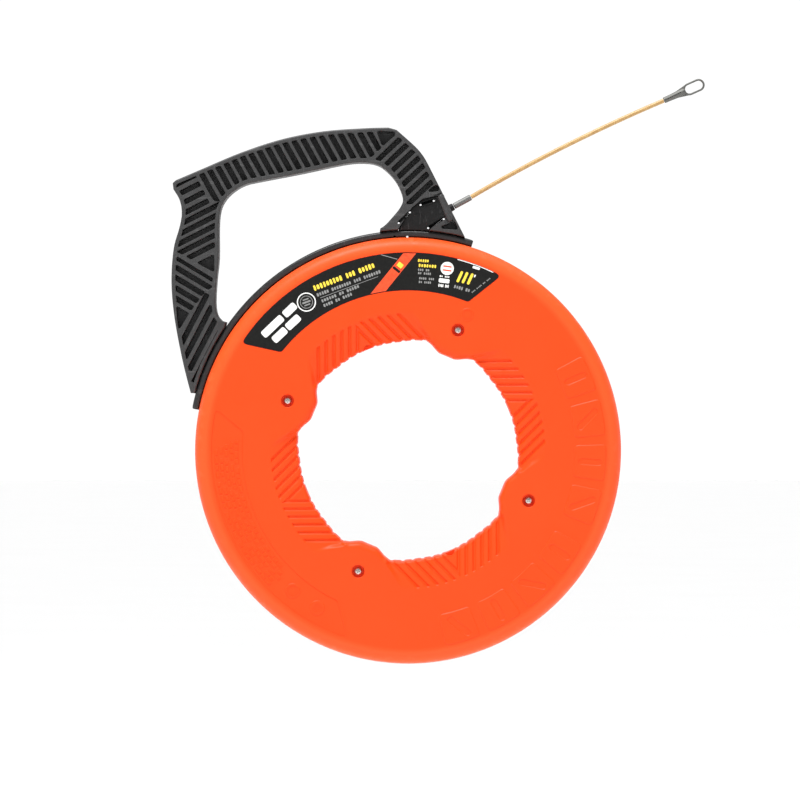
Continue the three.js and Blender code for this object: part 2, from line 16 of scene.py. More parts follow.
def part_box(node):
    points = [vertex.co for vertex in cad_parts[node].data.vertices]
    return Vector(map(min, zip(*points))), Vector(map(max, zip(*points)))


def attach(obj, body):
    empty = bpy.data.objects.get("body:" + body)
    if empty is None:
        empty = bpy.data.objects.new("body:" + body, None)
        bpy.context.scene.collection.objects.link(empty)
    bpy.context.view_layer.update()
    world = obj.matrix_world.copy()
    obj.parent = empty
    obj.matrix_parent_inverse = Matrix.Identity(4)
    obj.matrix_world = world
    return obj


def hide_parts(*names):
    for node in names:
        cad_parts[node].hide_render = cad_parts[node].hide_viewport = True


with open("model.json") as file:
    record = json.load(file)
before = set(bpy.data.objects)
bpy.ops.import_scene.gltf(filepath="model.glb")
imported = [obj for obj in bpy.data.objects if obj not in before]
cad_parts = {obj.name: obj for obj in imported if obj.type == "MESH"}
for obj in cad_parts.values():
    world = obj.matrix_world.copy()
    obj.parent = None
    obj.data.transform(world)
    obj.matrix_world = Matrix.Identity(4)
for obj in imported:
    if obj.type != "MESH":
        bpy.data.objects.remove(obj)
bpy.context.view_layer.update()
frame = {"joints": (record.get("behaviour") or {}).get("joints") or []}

# ---------- driving dimensions ----------

MM = 0.001
axis_point = next(j["pos_m"] for j in frame["joints"] if j["name"] == "case_spin")
shell_low, shell_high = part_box("case_front_shell")
CASE_RADIUS = (shell_high.x - shell_low.x) / 2 / MM
CASE_HALF_DEPTH = -shell_low.y / MM
HANDLE_HALF_DEPTH = -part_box("handle_body")[0].y / MM

GAP = 0.3
WALL = 2.8
FACE_RADIUS = 142.5
RIM_START = 12
HAND_RADIUS = 78
SLOT_HALF = 3.5

LOBE_ANGLE = 67.5  # first of the four lobes that stand into the hand hole
LOBE_DEPTH = 4.9
SCALLOP_DEPTH = 1.5
LOBE_ROUNDING = 4.5
SECTOR_ROUNDING = 2.5

RELIEF = 0.45  # how far moulded marks stand out of the face
FACE = CASE_HALF_DEPTH - RELIEF
GROOVE_END = 97.9
SECTOR_DROP = 4.2
GROOVE_DEPTH = 1.25
GROOVE_HALF_WIDTH = 1.5
GROOVE_PITCH = 5.6
GROOVE_FIRST = 36  # distance of the first groove's line from the reel's centre
GROOVE_COUNT = 6

SCREW_CIRCLE = 93.1
RECESS_RADIUS = 4.6
RECESS_FLOOR = 20

LABEL_INNER = 114.5
LABEL_OUTER = 141.4
LABEL_TOP = FACE - 0.12
LABEL_THICKNESS = 0.3

EXIT_ANGLE = 28.4  # the straight tape run, degrees above +X
TAPE_CIRCLE = 138.4
TAPE_RADIUS = 1.75
BUSHING_START = 104.6
BUSHING_END = 112
FERRULE_LENGTH = 13.7
FERRULE_RADIUS = 2.2

FOOT_RADIUS = 157.8
POCKET_BORDER = 3
POCKET_WIDTH = 3.9
POCKET_FLOOR = 4


# ---------- helpers: points and outlines ----------


def to_row(x, front, z):
    return Vector((axis_point[0] + x * MM, -front * MM, axis_point[2] + z * MM))


def polar(radius, degrees):
    angle = math.radians(degrees)
    return Vector((radius * math.cos(angle), radius * math.sin(angle)))


def blend(value, low, high):
    """0 below low, 1 above high and smooth between them."""
    t = min(max((value - low) / (high - low), 0), 1)
    return t * t * (3 - 2 * t)


def mix(a, b, share):
    return a + (b - a) * share


def points(*pairs):
    return [Vector(pair) for pair in pairs]


def arc_points(radius, start, end, count, centre=(0, 0)):
    """count + 1 points on an arc, angles in degrees."""
    middle = Vector(centre)
    return [middle + polar(radius, mix(start, end, i / count)) for i in range(count + 1)]


def smooth_line(line, steps):
    """A Catmull-Rom line through the points."""
    last = len(line) - 1
    made = []
    for i in range(last):
        start, end = line[i], line[i + 1]
        leaving = (end - line[max(i - 1, 0)]) / 2
        arriving = (line[min(i + 2, last)] - start) / 2
        for k in range(steps):
            t = k / steps
            made.append(
                start * (2 * t**3 - 3 * t**2 + 1)
                + leaving * (t**3 - 2 * t**2 + t)
                + end * (3 * t**2 - 2 * t**3)
                + arriving * (t**3 - t**2)
            )
    return [*made, line[last]]


def offset_line(line, distance):
    """Moves an open line sideways: a positive distance is to its right."""
    moved = []
    for i, point in enumerate(line):
        along = (line[min(i + 1, len(line) - 1)] - line[max(i - 1, 0)]).normalized()
        moved.append(point + Vector((along.y, -along.x)) * distance)
    return moved


def signed_area(outline):
    return sum(a.cross(b) for a, b in zip(outline, outline[1:] + outline[:1])) / 2


def counter_clockwise(outline):
    return outline if signed_area(outline) > 0 else outline[::-1]


def grow(outline, distance):
    """A closed outline moved outwards by a distance."""
    sign = 1 if signed_area(outline) > 0 else -1
    moved = []
    for i, point in enumerate(outline):
        back = (point - outline[i - 1]).normalized()
        ahead = (outline[(i + 1) % len(outline)] - point).normalized()
        side = Vector((back.y, -back.x)) * sign
        outward = (side + Vector((ahead.y, -ahead.x)) * sign).normalized()
        moved.append(point + outward * distance / max(outward.dot(side), 0.5))
    return moved


def clip(outline, window):
    """The part of an outline inside a convex window that runs counter-clockwise."""
    kept = outline
    for a, b in zip(window, window[1:] + window[:1]):
        edge = b - a
        before, kept = kept, []
        for p, q in zip(before[-1:] + before[:-1], before):
            side_p = edge.cross(p - a)
            side_q = edge.cross(q - a)
            if (side_p >= 0) != (side_q >= 0):
                kept.append(p.lerp(q, side_p / (side_p - side_q)))
            if side_q >= 0:
                kept.append(q)
        if not kept:
            return []
    return kept


def without_repeats(outline, nearest=0.5):
    kept = []
    for point in outline:
        if not kept or (point - kept[-1]).length > nearest:
            kept.append(point)
    if (kept[0] - kept[-1]).length < nearest:
        kept.pop()
    return kept


def rounded(outline, radius, steps=4):
    """A closed outline with its sharp corners rounded."""
    made = []
    for i, corner in enumerate(outline):
        back = outline[i - 1] - corner
        ahead = outline[(i + 1) % len(outline)] - corner
        turn = math.pi - back.angle(ahead)
        if turn < math.radians(18):
            made.append(corner)
            continue
        reach = min(radius * math.tan(turn / 2), 0.48 * back.length, 0.48 * ahead.length)
        start = corner + back.normalized() * reach
        end = corner + ahead.normalized() * reach
        for k in range(steps + 1):
            t = k / steps
            made.append(start * (1 - t) ** 2 + corner * 2 * t * (1 - t) + end * t * t)
    return made


def rectangle(centre, angle, half_length, half_width):
    along = polar(half_length, angle)
    across = polar(half_width, angle + 90)
    return [
        centre - along - across, centre + along - across, centre + along + across,
        centre - along + across,
    ]


def capsule(line, radius):
    """The outline of a round-ended slot that follows a line of points."""
    first = math.degrees(math.atan2(*(line[0] - line[1]).yx))
    last = math.degrees(math.atan2(*(line[-1] - line[-2]).yx))
    right = offset_line(line, radius)
    left = offset_line(line, -radius)[::-1]
    end_cap = arc_points(radius, last - 90, last + 90, 8, line[-1])
    start_cap = arc_points(radius, first - 90, first + 90, 8, line[0])
    return [*right[:-1], *end_cap, *left[1:-1], *start_cap[:-1]]


# ---------- helpers: meshes ----------

SHARP_ANGLE = math.radians(28)  # edges that turn more than this stay sharp


def to_object(name, mesh_build):
    mesh_build.normal_update()
    wide_faces = [face for face in mesh_build.faces if len(face.verts) > 4]
    bmesh.ops.triangulate(mesh_build, faces=wide_faces)
    bmesh.ops.recalc_face_normals(mesh_build, faces=mesh_build.faces)
    mesh = bpy.data.meshes.new(name)
    mesh_build.to_mesh(mesh)
    mesh_build.free()
    made = bpy.data.objects.new(name, mesh)
    bpy.context.scene.collection.objects.link(made)
    shade(made)
    return made


def shade(piece):
    piece.data.shade_smooth()
    piece.data.set_sharp_from_angle(angle=SHARP_ANGLE)


def bridge(mesh_build, low, high):
    """Faces between two closed rings, where one may have a multiple of the other's points."""
    if len(low) < len(high):
        low, high = high, low
    per = len(low) // len(high)
    for i in range(len(high)):
        fine = [low[(i * per + k) % len(low)] for k in range(per + 1)]
        mesh_build.faces.new([*fine, high[(i + 1) % len(high)], high[i]])


def loft(name, sections):
    """A closed solid through outlines with as many points each, as (outline, front)."""
    build = bmesh.new()
    rings = [
        [build.verts.new(to_row(p.x, front, p.y)) for p in outline]
        for outline, front in sections
    ]
    for low, high in zip(rings, rings[1:]):
        bridge(build, low, high)
    build.faces.new(rings[0])
    build.faces.new(rings[-1])
    return to_object(name, build)


def stepped(name, outline, levels, side=1):
    """A solid whose outline draws in by an inset at each (inset, front) level."""
    return loft(name, [(grow(outline, -inset), side * front) for inset, front in levels])


def prism(outline, start, end):
    return loft("tool", [(outline, start), (outline, end)])


def disc(centre, radius, start, end, count=48):
    return prism(arc_points(radius, 0, 360 - 360 / count, count - 1, centre), start, end)


def lathe(name, profile, place, direction, segments=48, closed=False):
    """A profile of (radius, distance along) turned around a line, from a place in the
    reel's millimetres as (x, front, z). A point with no radius lies on the line."""
    axis = Vector(direction).normalized()
    helper = Vector((0, 0, 1)) if abs(axis.z) < 0.8 else Vector((1, 0, 0))
    side = axis.cross(helper).normalized()
    up = axis.cross(side)
    build = bmesh.new()
    rings = []
    for radius, along in profile:
        centre = Vector(place) + axis * along
        count = segments if radius > 0 else 1
        ring = []
        for i in range(count):
            angle = 2 * math.pi * i / segments
            spot = centre + (side * math.cos(angle) + up * math.sin(angle)) * radius
            ring.append(build.verts.new(to_row(*spot)))
        rings.append(ring)
    pairs = list(zip(rings, rings[1:]))
    if closed:
        pairs.append((rings[-1], rings[0]))
    for low, high in pairs:
        if len(low) == 1 or len(high) == 1:
            tip, ring = (low[0], high) if len(low) == 1 else (high[0], low)
            for i in range(segments):
                build.faces.new([tip, ring[i], ring[(i + 1) % segments]])
        else:
            bridge(build, low, high)
    return to_object(name, build)


def tube(name, centres, section):
    """Sweeps a closed section of (across, front) pairs along points in the reel's
    millimetres as (x, front, z)."""
    build = bmesh.new()
    rings = []
    for i, centre in enumerate(centres):
        ahead = centres[min(i + 1, len(centres) - 1)] - centres[max(i - 1, 0)]
        ahead.normalize()
        across = ahead.cross(Vector((0, 1, 0))).normalized()
        forward = across.cross(ahead)
        rings.append(
            [build.verts.new(to_row(*(centre + across * a + forward * f))) for a, f in section]
        )
    for low, high in zip(rings, rings[1:]):
        bridge(build, low, high)
    build.faces.new(rings[0])
    build.faces.new(rings[-1])
    return to_object(name, build)


def circle_section(radius, sides):
    return [tuple(p) for p in arc_points(radius, 0, 360 - 360 / sides, sides - 1)]


def combine(piece, operation, tools):
    """Cuts or joins a piece with each tool in turn. The tools are used up."""
    for tool in tools:
        modifier = piece.modifiers.new("combine", "BOOLEAN")
        modifier.operation = operation
        modifier.solver = "MANIFOLD"
        modifier.object = tool
        depsgraph = bpy.context.evaluated_depsgraph_get()
        mesh = bpy.data.meshes.new_from_object(piece.evaluated_get(depsgraph))
        piece.modifiers.clear()
        used = piece.data
        piece.data = mesh
        bpy.data.meshes.remove(used)
        bpy.data.objects.remove(tool)
    shade(piece)
    return piece


def joined_tools(tools):
    """Several separate solids as one mesh, so that one cut takes them all."""
    build = bmesh.new()
    for tool in tools:
        build.from_mesh(tool.data)
        bpy.data.objects.remove(tool)
    return to_object("tools", build)


def cut(piece, tools):
    """Cuts with tools that stand apart from each other, all at once."""
    return combine(piece, "DIFFERENCE", [joined_tools(tools)])


def cut_each(piece, tools):
    """Cuts with tools that may run into each other, one by one."""
    return combine(piece, "DIFFERENCE", tools)


def add(piece, tools):
    return combine(piece, "UNION", tools)


def place_piece(piece, body, slot, nodes, *materials):
    """Gives a finished piece its materials and body, and hides the nodes it stands for. The slot is
    not used.
    """
    piece.data.materials.clear()
    for material in materials:
        piece.data.materials.append(material)
    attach(piece, body)
    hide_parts(*nodes)


# ---------- materials ----------


def add_node(tree, kind, inputs=None, **settings):
    """A shader node. An input is either a value or another node's output."""
    made = tree.nodes.new("ShaderNode" + kind)
    for key, value in settings.items():
        setattr(made, key, value)
    for key, value in (inputs or {}).items():
        if isinstance(value, bpy.types.NodeSocket):
            tree.links.new(value, made.inputs[key])
        else:
            made.inputs[key].default_value = value
    return made


def math_node(tree, operation, *values):
    made = tree.nodes.new("ShaderNodeMath")
    made.operation = operation
    for socket, value in zip(made.inputs, values):
        if isinstance(value, bpy.types.NodeSocket):
            tree.links.new(value, socket)
        else:
            socket.default_value = value
    return made.outputs[0]


def times(tree, a, b):
    return math_node(tree, "MULTIPLY", a, b)


def plus(tree, a, b):
    return math_node(tree, "ADD", a, b)


def ramp(tree, value, *stops):
    """A colour ramp of (place, brightness) or (place, colour) stops."""
    made = add_node(tree, "ValToRGB", {"Fac": value})
    elements = made.color_ramp.elements
    for i, (place, level) in enumerate(stops):
        element = elements[i] if i < 2 else elements.new(place)
        element.position = place
        element.color = (*level, 1) if isinstance(level, tuple) else (level, level, level, 1)
    return made.outputs["Color"]


def noise(tree, scale, detail=4, stretch=(1, 1, 1)):
    """Noise over the piece's own coordinates, in features per metre."""
    place = add_node(tree, "TexCoord").outputs["Object"]
    mapped = add_node(tree, "Mapping", {"Vector": place, "Scale": stretch})
    inputs = {"Vector": mapped.outputs["Vector"], "Scale": scale, "Detail": detail}
    return add_node(tree, "TexNoise", inputs).outputs["Fac"]


def mix_colour(tree, share, first, second):
    made = add_node(tree, "Mix", data_type="RGBA")
    for i, value in ((0, share), (6, first), (7, second)):
        socket = made.inputs[i]
        if isinstance(value, bpy.types.NodeSocket):
            tree.links.new(value, socket)
        else:
            socket.default_value = (*value, 1) if isinstance(value, tuple) else value
    return made.outputs[2]


def plan_radius(tree):
    """Distance from the reel's axis, in millimetres."""
    place = add_node(tree, "TexCoord").outputs["Object"]
    split = add_node(tree, "SeparateXYZ", {"Vector": place})
    x = math_node(tree, "SUBTRACT", split.outputs["X"], axis_point[0])
    z = math_node(tree, "SUBTRACT", split.outputs["Z"], axis_point[2])
    square = plus(tree, math_node(tree, "POWER", x, 2), math_node(tree, "POWER", z, 2))
    return times(tree, math_node(tree, "SQRT", square), 1 / MM)


def new_material(name, **values):
    """A material whose steady values sit on the shader's own sockets."""
    material = bpy.data.materials.new(name)
    material.use_nodes = True
    tree = material.node_tree
    shader = tree.nodes["Principled BSDF"]
    for key, value in values.items():
        shader.inputs[key.replace("_", " ")].default_value = value
    return material, tree, shader


def finish_material(tree, shader, colour, roughness, bumps):
    """Links colour and roughness, and stacks the bumps, each (height, depth in metres)."""
    tree.links.new(colour, shader.inputs["Base Color"])
    tree.links.new(roughness, shader.inputs["Roughness"])
    normal = None
    for height, depth in bumps:
        inputs = {"Height": height, "Distance": depth, "Strength": 1.0}
        if normal is not None:
            inputs["Normal"] = normal
        normal = add_node(tree, "Bump", inputs).outputs["Normal"]
    tree.links.new(normal, shader.inputs["Normal"])


def scratches(tree, scale, stretch, low=0.62, high=0.7):
    """A mask of thin marks that run along the least stretched direction."""
    return ramp(tree, noise(tree, scale, 2, stretch), (low, 0), (high, 1))


def orange_plastic():
    material, tree, shader = new_material("orange_moulded_plastic", Specular_IOR_Level=0.22)
    patches = noise(tree, 14, 3)
    flecks = ramp(tree, noise(tree, 900, 2), (0.66, 0), (0.74, 1))
    edge = math_node(tree, "DIVIDE", plan_radius(tree), CASE_RADIUS)
    rim = ramp(tree, edge, (0.95, 0), (0.995, 1))
    worn = times(tree, rim, scratches(tree, 160, (1, 0.25, 1), 0.55, 0.72))
    colour = mix_colour(tree, patches, (0.84, 0.055, 0.002), (0.89, 0.064, 0.005))
    colour = mix_colour(tree, times(tree, flecks, 0.12), colour, (0.78, 0.04, 0.003))
    colour = mix_colour(tree, times(tree, worn, 0.25), colour, (1.0, 0.22, 0.09))
    band = times(tree, ramp(tree, edge, (0.925, 0), (0.95, 1)), 0.4)
    colour = mix_colour(tree, band, colour, (0.95, 0.13, 0.03))
    rubbed = times(tree, scratches(tree, 55, (3, 1, 0.4)), 0.12)
    roughness = plus(tree, times(tree, patches, 0.14), 0.4)
    roughness = math_node(tree, "SUBTRACT", roughness, rubbed)
    bumps = [(noise(tree, 1600, 2), 0.00003), (noise(tree, 220, 3), 0.00004)]
    finish_material(tree, shader, colour, roughness, bumps)
    return material


def black_nylon(name, tone, gloss, sheen=0.5):
    material, tree, shader = new_material(name, IOR=1.52, Specular_IOR_Level=sheen)
    cloudy = noise(tree, 60, 4)
    fibres = ramp(tree, noise(tree, 700, 2, (1, 1, 0.2)), (0.6, 0), (0.75, 1))
    marks = scratches(tree, 120, (0.3, 1, 2.5), 0.6, 0.68)
    colour = mix_colour(tree, cloudy, (tone, tone, tone), (tone * 1.6, tone * 1.6, tone * 1.65))
    colour = mix_colour(tree, times(tree, fibres, 0.35), colour, (0.09, 0.09, 0.092))
    colour = mix_colour(tree, times(tree, marks, 0.12), colour, (0.2, 0.2, 0.2))
    roughness = plus(tree, times(tree, cloudy, 0.2), gloss)
    bumps = [(noise(tree, 1100, 3), 0.00005), (noise(tree, 180, 3), 0.00008)]
    finish_material(tree, shader, colour, roughness, bumps)
    return material


def metal(name, dark, light, gloss, grain):
    material, tree, shader = new_material(name, Metallic=1.0)
    tumbled = noise(tree, 350, 5)
    brushed = noise(tree, 2500, 2, grain)
    pits = ramp(tree, noise(tree, 1300, 2), (0.28, 1), (0.36, 0))
    colour = mix_colour(tree, tumbled, dark, light)
    colour = mix_colour(tree, times(tree, pits, 0.5), colour, tuple(c * 0.4 for c in dark))
    roughness = plus(tree, times(tree, tumbled, 0.25), gloss)
    finish_material(tree, shader, colour, roughness, [(brushed, 0.00003), (pits, 0.00003)])
    return material


def fibreglass(name, dark, light, grain, gloss, coat):
    """Resin over glass fibres. The grain's long way is where its stretch is smallest."""
    material, tree, shader = new_material(name, IOR=1.52, Coat_Weight=coat, Coat_Roughness=0.15)
    fibres = noise(tree, 1500, 3, grain)
    patches = noise(tree, 90, 3)
    colour = mix_colour(tree, ramp(tree, fibres, (0.35, 0), (0.65, 1)), dark, light)
    colour = mix_colour(tree, times(tree, patches, 0.2), colour, dark)
    roughness = plus(tree, times(tree, fibres, 0.2), gloss)
    finish_material(tree, shader, colour, roughness, [(fibres, 0.00004), (patches, 0.00004)])
    return material


def printed_film(name, colour_low, colour_high):
    """Laminated label print: a thin gloss film over ink with slight rub marks."""
    material, tree, shader = new_material(name, Specular_IOR_Level=0.12)
    ink = noise(tree, 500, 3)
    rub = scratches(tree, 70, (0.4, 1, 2), 0.58, 0.7)
    colour = mix_colour(tree, ink, colour_low, colour_high)
    roughness = plus(tree, times(tree, rub, 0.2), 0.38)
    finish_material(tree, shader, colour, roughness, [(noise(tree, 260, 3), 0.00003), (ink, 0.00001)])
    return material


orange = orange_plastic()
nylon = black_nylon("black_nylon_grain", 0.02, 0.42)
rail_nylon = black_nylon("rail_nylon_gloss", 0.014, 0.24, 0.35)
guide_nylon = black_nylon("guide_nylon_satin", 0.006, 0.4, 0.18)
clip_nylon = black_nylon("clip_nylon", 0.03, 0.5)
zinc = metal("zinc_plated_steel", (0.42, 0.42, 0.4), (0.78, 0.78, 0.75), 0.2, (1, 1, 0.15))
eye_steel = metal("stamped_steel", (0.1, 0.1, 0.095), (0.22, 0.22, 0.205), 0.48, (0.15, 1, 1))
ferrule_steel = metal("ferrule_steel", (0.13, 0.13, 0.125), (0.24, 0.24, 0.23), 0.42, (0.15, 1, 1))
tape_resin = fibreglass(
    "tape_fibreglass", (0.42, 0.25, 0.06), (0.8, 0.58, 0.22), (0.1, 1, 0.1), 0.25, 0.35
)
rod_resin = fibreglass(
    "rod_fibreglass", (0.4, 0.23, 0.07), (0.52, 0.33, 0.12), (0.14, 1, 0.14), 0.32, 0.15
)
label_black = printed_film("label_black_ink", (0.006, 0.006, 0.006), (0.014, 0.014, 0.013))
# white ink for the print, also used for the painted highlight on the label's upper edge
label_white = printed_film("label_white_ink_and_highlight", (0.82, 0.82, 0.8), (0.9, 0.9, 0.88))
label_yellow = printed_film("label_yellow_ink", (0.85, 0.6, 0.05), (0.95, 0.72, 0.09))
label_grey = printed_film("label_grey_ink", (0.2, 0.2, 0.2), (0.32, 0.32, 0.31))
label_red = printed_film("label_red_ink", (0.75, 0.05, 0.02), (0.9, 0.12, 0.04))
LABEL_INKS = [label_black, label_white, label_yellow, label_grey, label_red]


# ---------- case shells ----------

OUTER_COLUMNS = 400
INNER_COLUMNS = 3 * OUTER_COLUMNS
SECTOR_RADIUS = GROOVE_END + 0.6


def hole_offset(degrees):
    """How far the hand hole's wall stands out (or in, negative) at an angle."""
    away = abs((degrees - LOBE_ANGLE + 45) % 90 - 45)
    lobe = LOBE_DEPTH * (1 - blend(away, 4, 13))
    from_scallop = min(abs(away - 15) / 14, 1)
    return SCALLOP_DEPTH * (1 + math.cos(math.pi * from_scallop)) / 2 - lobe


def sector_weight(radius, degrees):
    """0 on a lobe's V-shaped flat, 1 on the grooved sectors between."""
    away = math.radians((degrees - LOBE_ANGLE + 45) % 90 - 45)
    along = radius * math.cos(away)
    across = abs(radius * math.sin(away))
    outside = (across - 12 - (along - 75.6) * 1.27) * 0.62
    return blend(outside, -1, 2.6)


def groove(radius, degrees):
    """Depth of the hand grip's grooves, which meet in a V in the middle of a sector."""
    if radius > GROOVE_END + 0.4:
        return 0
    away = math.radians((degrees - LOBE_ANGLE) % 90 - 45)
    slant = math.radians(22.5)
    line = radius * (math.cos(away) * math.sin(slant) + abs(math.sin(away)) * math.cos(slant))
    step = min(max(round((line - GROOVE_FIRST) / GROOVE_PITCH), 0), GROOVE_COUNT - 1)
    off = abs(line - GROOVE_FIRST - step * GROOVE_PITCH)
    end = 1 - blend(radius, GROOVE_END - 0.5, GROOVE_END + 0.4)
    return GROOVE_DEPTH * end * (1 - blend(off, 0.35, GROOVE_HALF_WIDTH))


def grip_column(degrees):
    """The skin from the flat face over the hand hole's edge to the parting line, as
    (radius, front) points at one angle."""
    sector = sector_weight(HAND_RADIUS, degrees)
    corner = mix(LOBE_ROUNDING, SECTOR_ROUNDING, sector)
    skin = []
    for i in range(36):
        radius = mix(SECTOR_RADIUS, HAND_RADIUS + corner, i / 35)
        skin.append((radius, corner_top(radius, degrees), 0, 1))
    top = corner_top(HAND_RADIUS + corner, degrees)
    for i in range(1, 9):
        turn = math.pi / 2 * i / 8
        radius = HAND_RADIUS + corner * (1 - math.sin(turn))
        skin.append((radius, top - corner * (1 - math.cos(turn)), -math.sin(turn), math.cos(turn)))
    for i in range(1, 7):
        skin.append((HAND_RADIUS, mix(top - corner, GAP / 2, i / 6), -1, 0))
    reach = hole_offset(degrees)
    points_out = []
    for radius, front, out_r, out_f in skin:
        share = min(max((HAND_RADIUS + 10 - radius) / 7, 0), 1)
        moved = radius + reach * share
        depth = groove(moved, degrees) * sector_weight(moved, degrees) * (1 + 0.45 * min(out_r, 0))
        points_out.append((moved - out_r * depth, front - out_f * depth))
    return points_out


def corner_top(radius, degrees):
    """Height of the face, which falls towards the hand hole on the grooved sectors."""
    fall = (SECTOR_RADIUS - radius) / (SECTOR_RADIUS - HAND_RADIUS)
    return FACE - SECTOR_DROP * fall**1.2 * sector_weight(radius, degrees)


def rim_profile():
    """From the flat face over the rim into the slot, then back along the inside."""
    outside = [(radius, FACE) for radius in (100, 110, 122, 134, FACE_RADIUS)]
    for i in range(1, 17):
        t = i / 16
        radius = FACE_RADIUS + (CASE_RADIUS - FACE_RADIUS) * (2 * t - t * t)
        outside.append((radius, FACE - (FACE - RIM_START) * t * t))
    lip = 0.8
    outside += [(CASE_RADIUS, 8), (CASE_RADIUS, SLOT_HALF + lip)]
    outside += [(CASE_RADIUS - 0.25, SLOT_HALF + 0.25), (CASE_RADIUS - lip, SLOT_HALF)]
    ceiling = CASE_HALF_DEPTH - WALL
    inside = [
        (CASE_RADIUS - WALL, SLOT_HALF),
        (CASE_RADIUS - WALL, RIM_START),
        (CASE_RADIUS - WALL - 3, ceiling - 3),
        (FACE_RADIUS, ceiling),
        (LABEL_INNER, ceiling),
        (GROOVE_END, ceiling - 2.5),
    ]
    return outside, inside


def shell_blank(side):
    """One half of the case, before its holes and recesses are cut. Side 1 is the front."""
    build = bmesh.new()

    def ring(count, place):
        made = []
        for i in range(count):
            degrees = 360 * i / count
            radius, front = place(degrees)
            spot = polar(radius, degrees)
            made.append(build.verts.new(to_row(spot.x, side * front, spot.y)))
        return made

    columns = [grip_column(360 * i / INNER_COLUMNS) for i in range(INNER_COLUMNS)]
    step = 360 / INNER_COLUMNS
    grip = [
        ring(INNER_COLUMNS, lambda degrees, j=j: columns[round(degrees / step)][j])
        for j in range(len(columns[0]))
    ]
    outside, inside = rim_profile()
    rim = [ring(OUTER_COLUMNS, lambda _, p=p: p) for p in outside + inside]

    def inner_wall(front):
        return lambda degrees: (HAND_RADIUS + WALL + hole_offset(degrees), front)

    wall = [ring(OUTER_COLUMNS, inner_wall(front)) for front in (15, GAP / 2)]
    loop = [*grip[::-1], *rim, *wall]
    for low, high in zip(loop, loop[1:] + loop[:1]):
        bridge(build, low, high)
    return to_object("shell", build)


BOSS_RADIUS = 6.6
BORE_RADIUS = 1.8
NOTCH_ANGLES = (111.5, -67.5)
NOTCH_RADIUS = 3.5
NOTCH_FLOOR = 13.5
screw_places = [polar(SCREW_CIRCLE, LOBE_ANGLE - 90 * k) for k in range(4)]


def side_disc(side, place, radius, start, end, count=48):
    return disc(place, radius, side * start, side * end, count)


def bosses(side):
    top = CASE_HALF_DEPTH - WALL / 2
    return [side_disc(side, place, BOSS_RADIUS, GAP / 2, top) for place in screw_places]


def screw_holes(side):
    """Countersunk recesses for the heads or nuts, and the bores below them."""
    tools = []
    for place in screw_places:
        wide = arc_points(RECESS_RADIUS + 0.5, 0, 352.5, 47, place)
        narrow = arc_points(RECESS_RADIUS, 0, 352.5, 47, place)
        heights = [(narrow, RECESS_FLOOR), (narrow, FACE - 0.35)]
        heights += [(wide, FACE + 0.15), (wide, FACE + 2)]
        tools.append(loft("recess", [(outline, side * front) for outline, front in heights]))
        tools.append(side_disc(side, place, BORE_RADIUS, -1, RECESS_FLOOR + 0.5, 24))
    return tools


def notches(side):
    """Two half-round notches at the edge of the hand hole."""
    places = [polar(HAND_RADIUS - 0.6, angle) for angle in NOTCH_ANGLES]
    top = CASE_HALF_DEPTH + 1
    return [side_disc(side, place, NOTCH_RADIUS, NOTCH_FLOOR, top, 32) for place in places]


def arc_block(inner, outer, start, end):
    """Outline of a curved block between two radii and two angles."""
    count = max(2, round((end - start) / 2))
    return [*arc_points(outer, start, end, count), *arc_points(inner, end, start, count)]


def relief(side, outline, base, top, slope=0.6):
    """A raised shape with sloping sides, sunk a little below its base."""
    foot = grow(outline, slope)
    return loft("relief", [(foot, side * (base - 0.3)), (foot, side * base), (outline, side * top)])


PAD_SPAN = 10.2  # degrees that one raised pad covers
PAD_STARTS = [first + 13.4 * k for first in (-79, -22) for k in range(4)]


def face_marks(side):
    """Raised pads around the face, in two groups of four."""
    pads = []
    for start in PAD_STARTS:
        outline = rounded(arc_block(119.5, 140.8, start, start + PAD_SPAN), 2.5)
        pads.append(relief(side, outline, FACE, FACE + RELIEF - 0.02))
    return pads


def pad_slots(side):
    """A round-ended slot with sloping sides in each raised pad, every second one leaning."""
    slots = []
    for k, start in enumerate(PAD_STARTS):
        middle = start + PAD_SPAN / 2
        lean = 0 if k % 2 else 4
        line = [polar(124, middle - lean / 2), polar(136.3, middle + lean / 2)]
        floor, top = capsule(line, 2.0), capsule(line, 2.7)
        slots.append(loft("slot", [(floor, side * FACE), (top, side * (FACE + RELIEF + 0.1))]))
    return slots


PANEL_DEPTH = 0.35
RING_PLACE = polar(105.9, 66.5)
ROUND_SIGN_PLACE = polar(129.5, 230.5)
SQUARE_SIGN_PLACE = polar(129.5, 240)


def panel_outline(margin=0.0):
    start, end = 167.6, 252
    inner_start, inner_end = 173.4, 244.9
    outer = arc_points(141 - margin, start, end, 24)
    inner = arc_points(117.6 + margin, inner_end, inner_start, 24)
    return rounded([*outer, *inner], 3)


def panel_marks(side):
    """Rows of small raised dashes in the sunken panel, and the rims of two plain signs."""
    floor = FACE - PANEL_DEPTH
    marks = []
    for row in range(5):
        radius = 121.5 + 3.6 * row
        degrees = 176.5 + 0.8 * row
        k = 0
        while degrees < 224:
            width = 1.0 + 0.9 * ((k * 7 + row * 3) % 5) / 4
            outline = arc_block(radius, radius + 1.7, degrees, degrees + width)
            marks.append(relief(side, outline, floor, FACE + 0.05, 0.3))
            degrees += width + (1.6 if (k + row) % 4 == 3 else 0.7)
            k += 1
    for place in (ROUND_SIGN_PLACE, SQUARE_SIGN_PLACE):
        marks.append(relief(side, arc_points(5, 0, 352, 44, place), floor, FACE, 0.4))
    return marks


def small_ring(side):
    return relief(side, arc_points(4.3, 0, 352, 44, RING_PLACE), FACE, FACE + 0.3, 0.4)


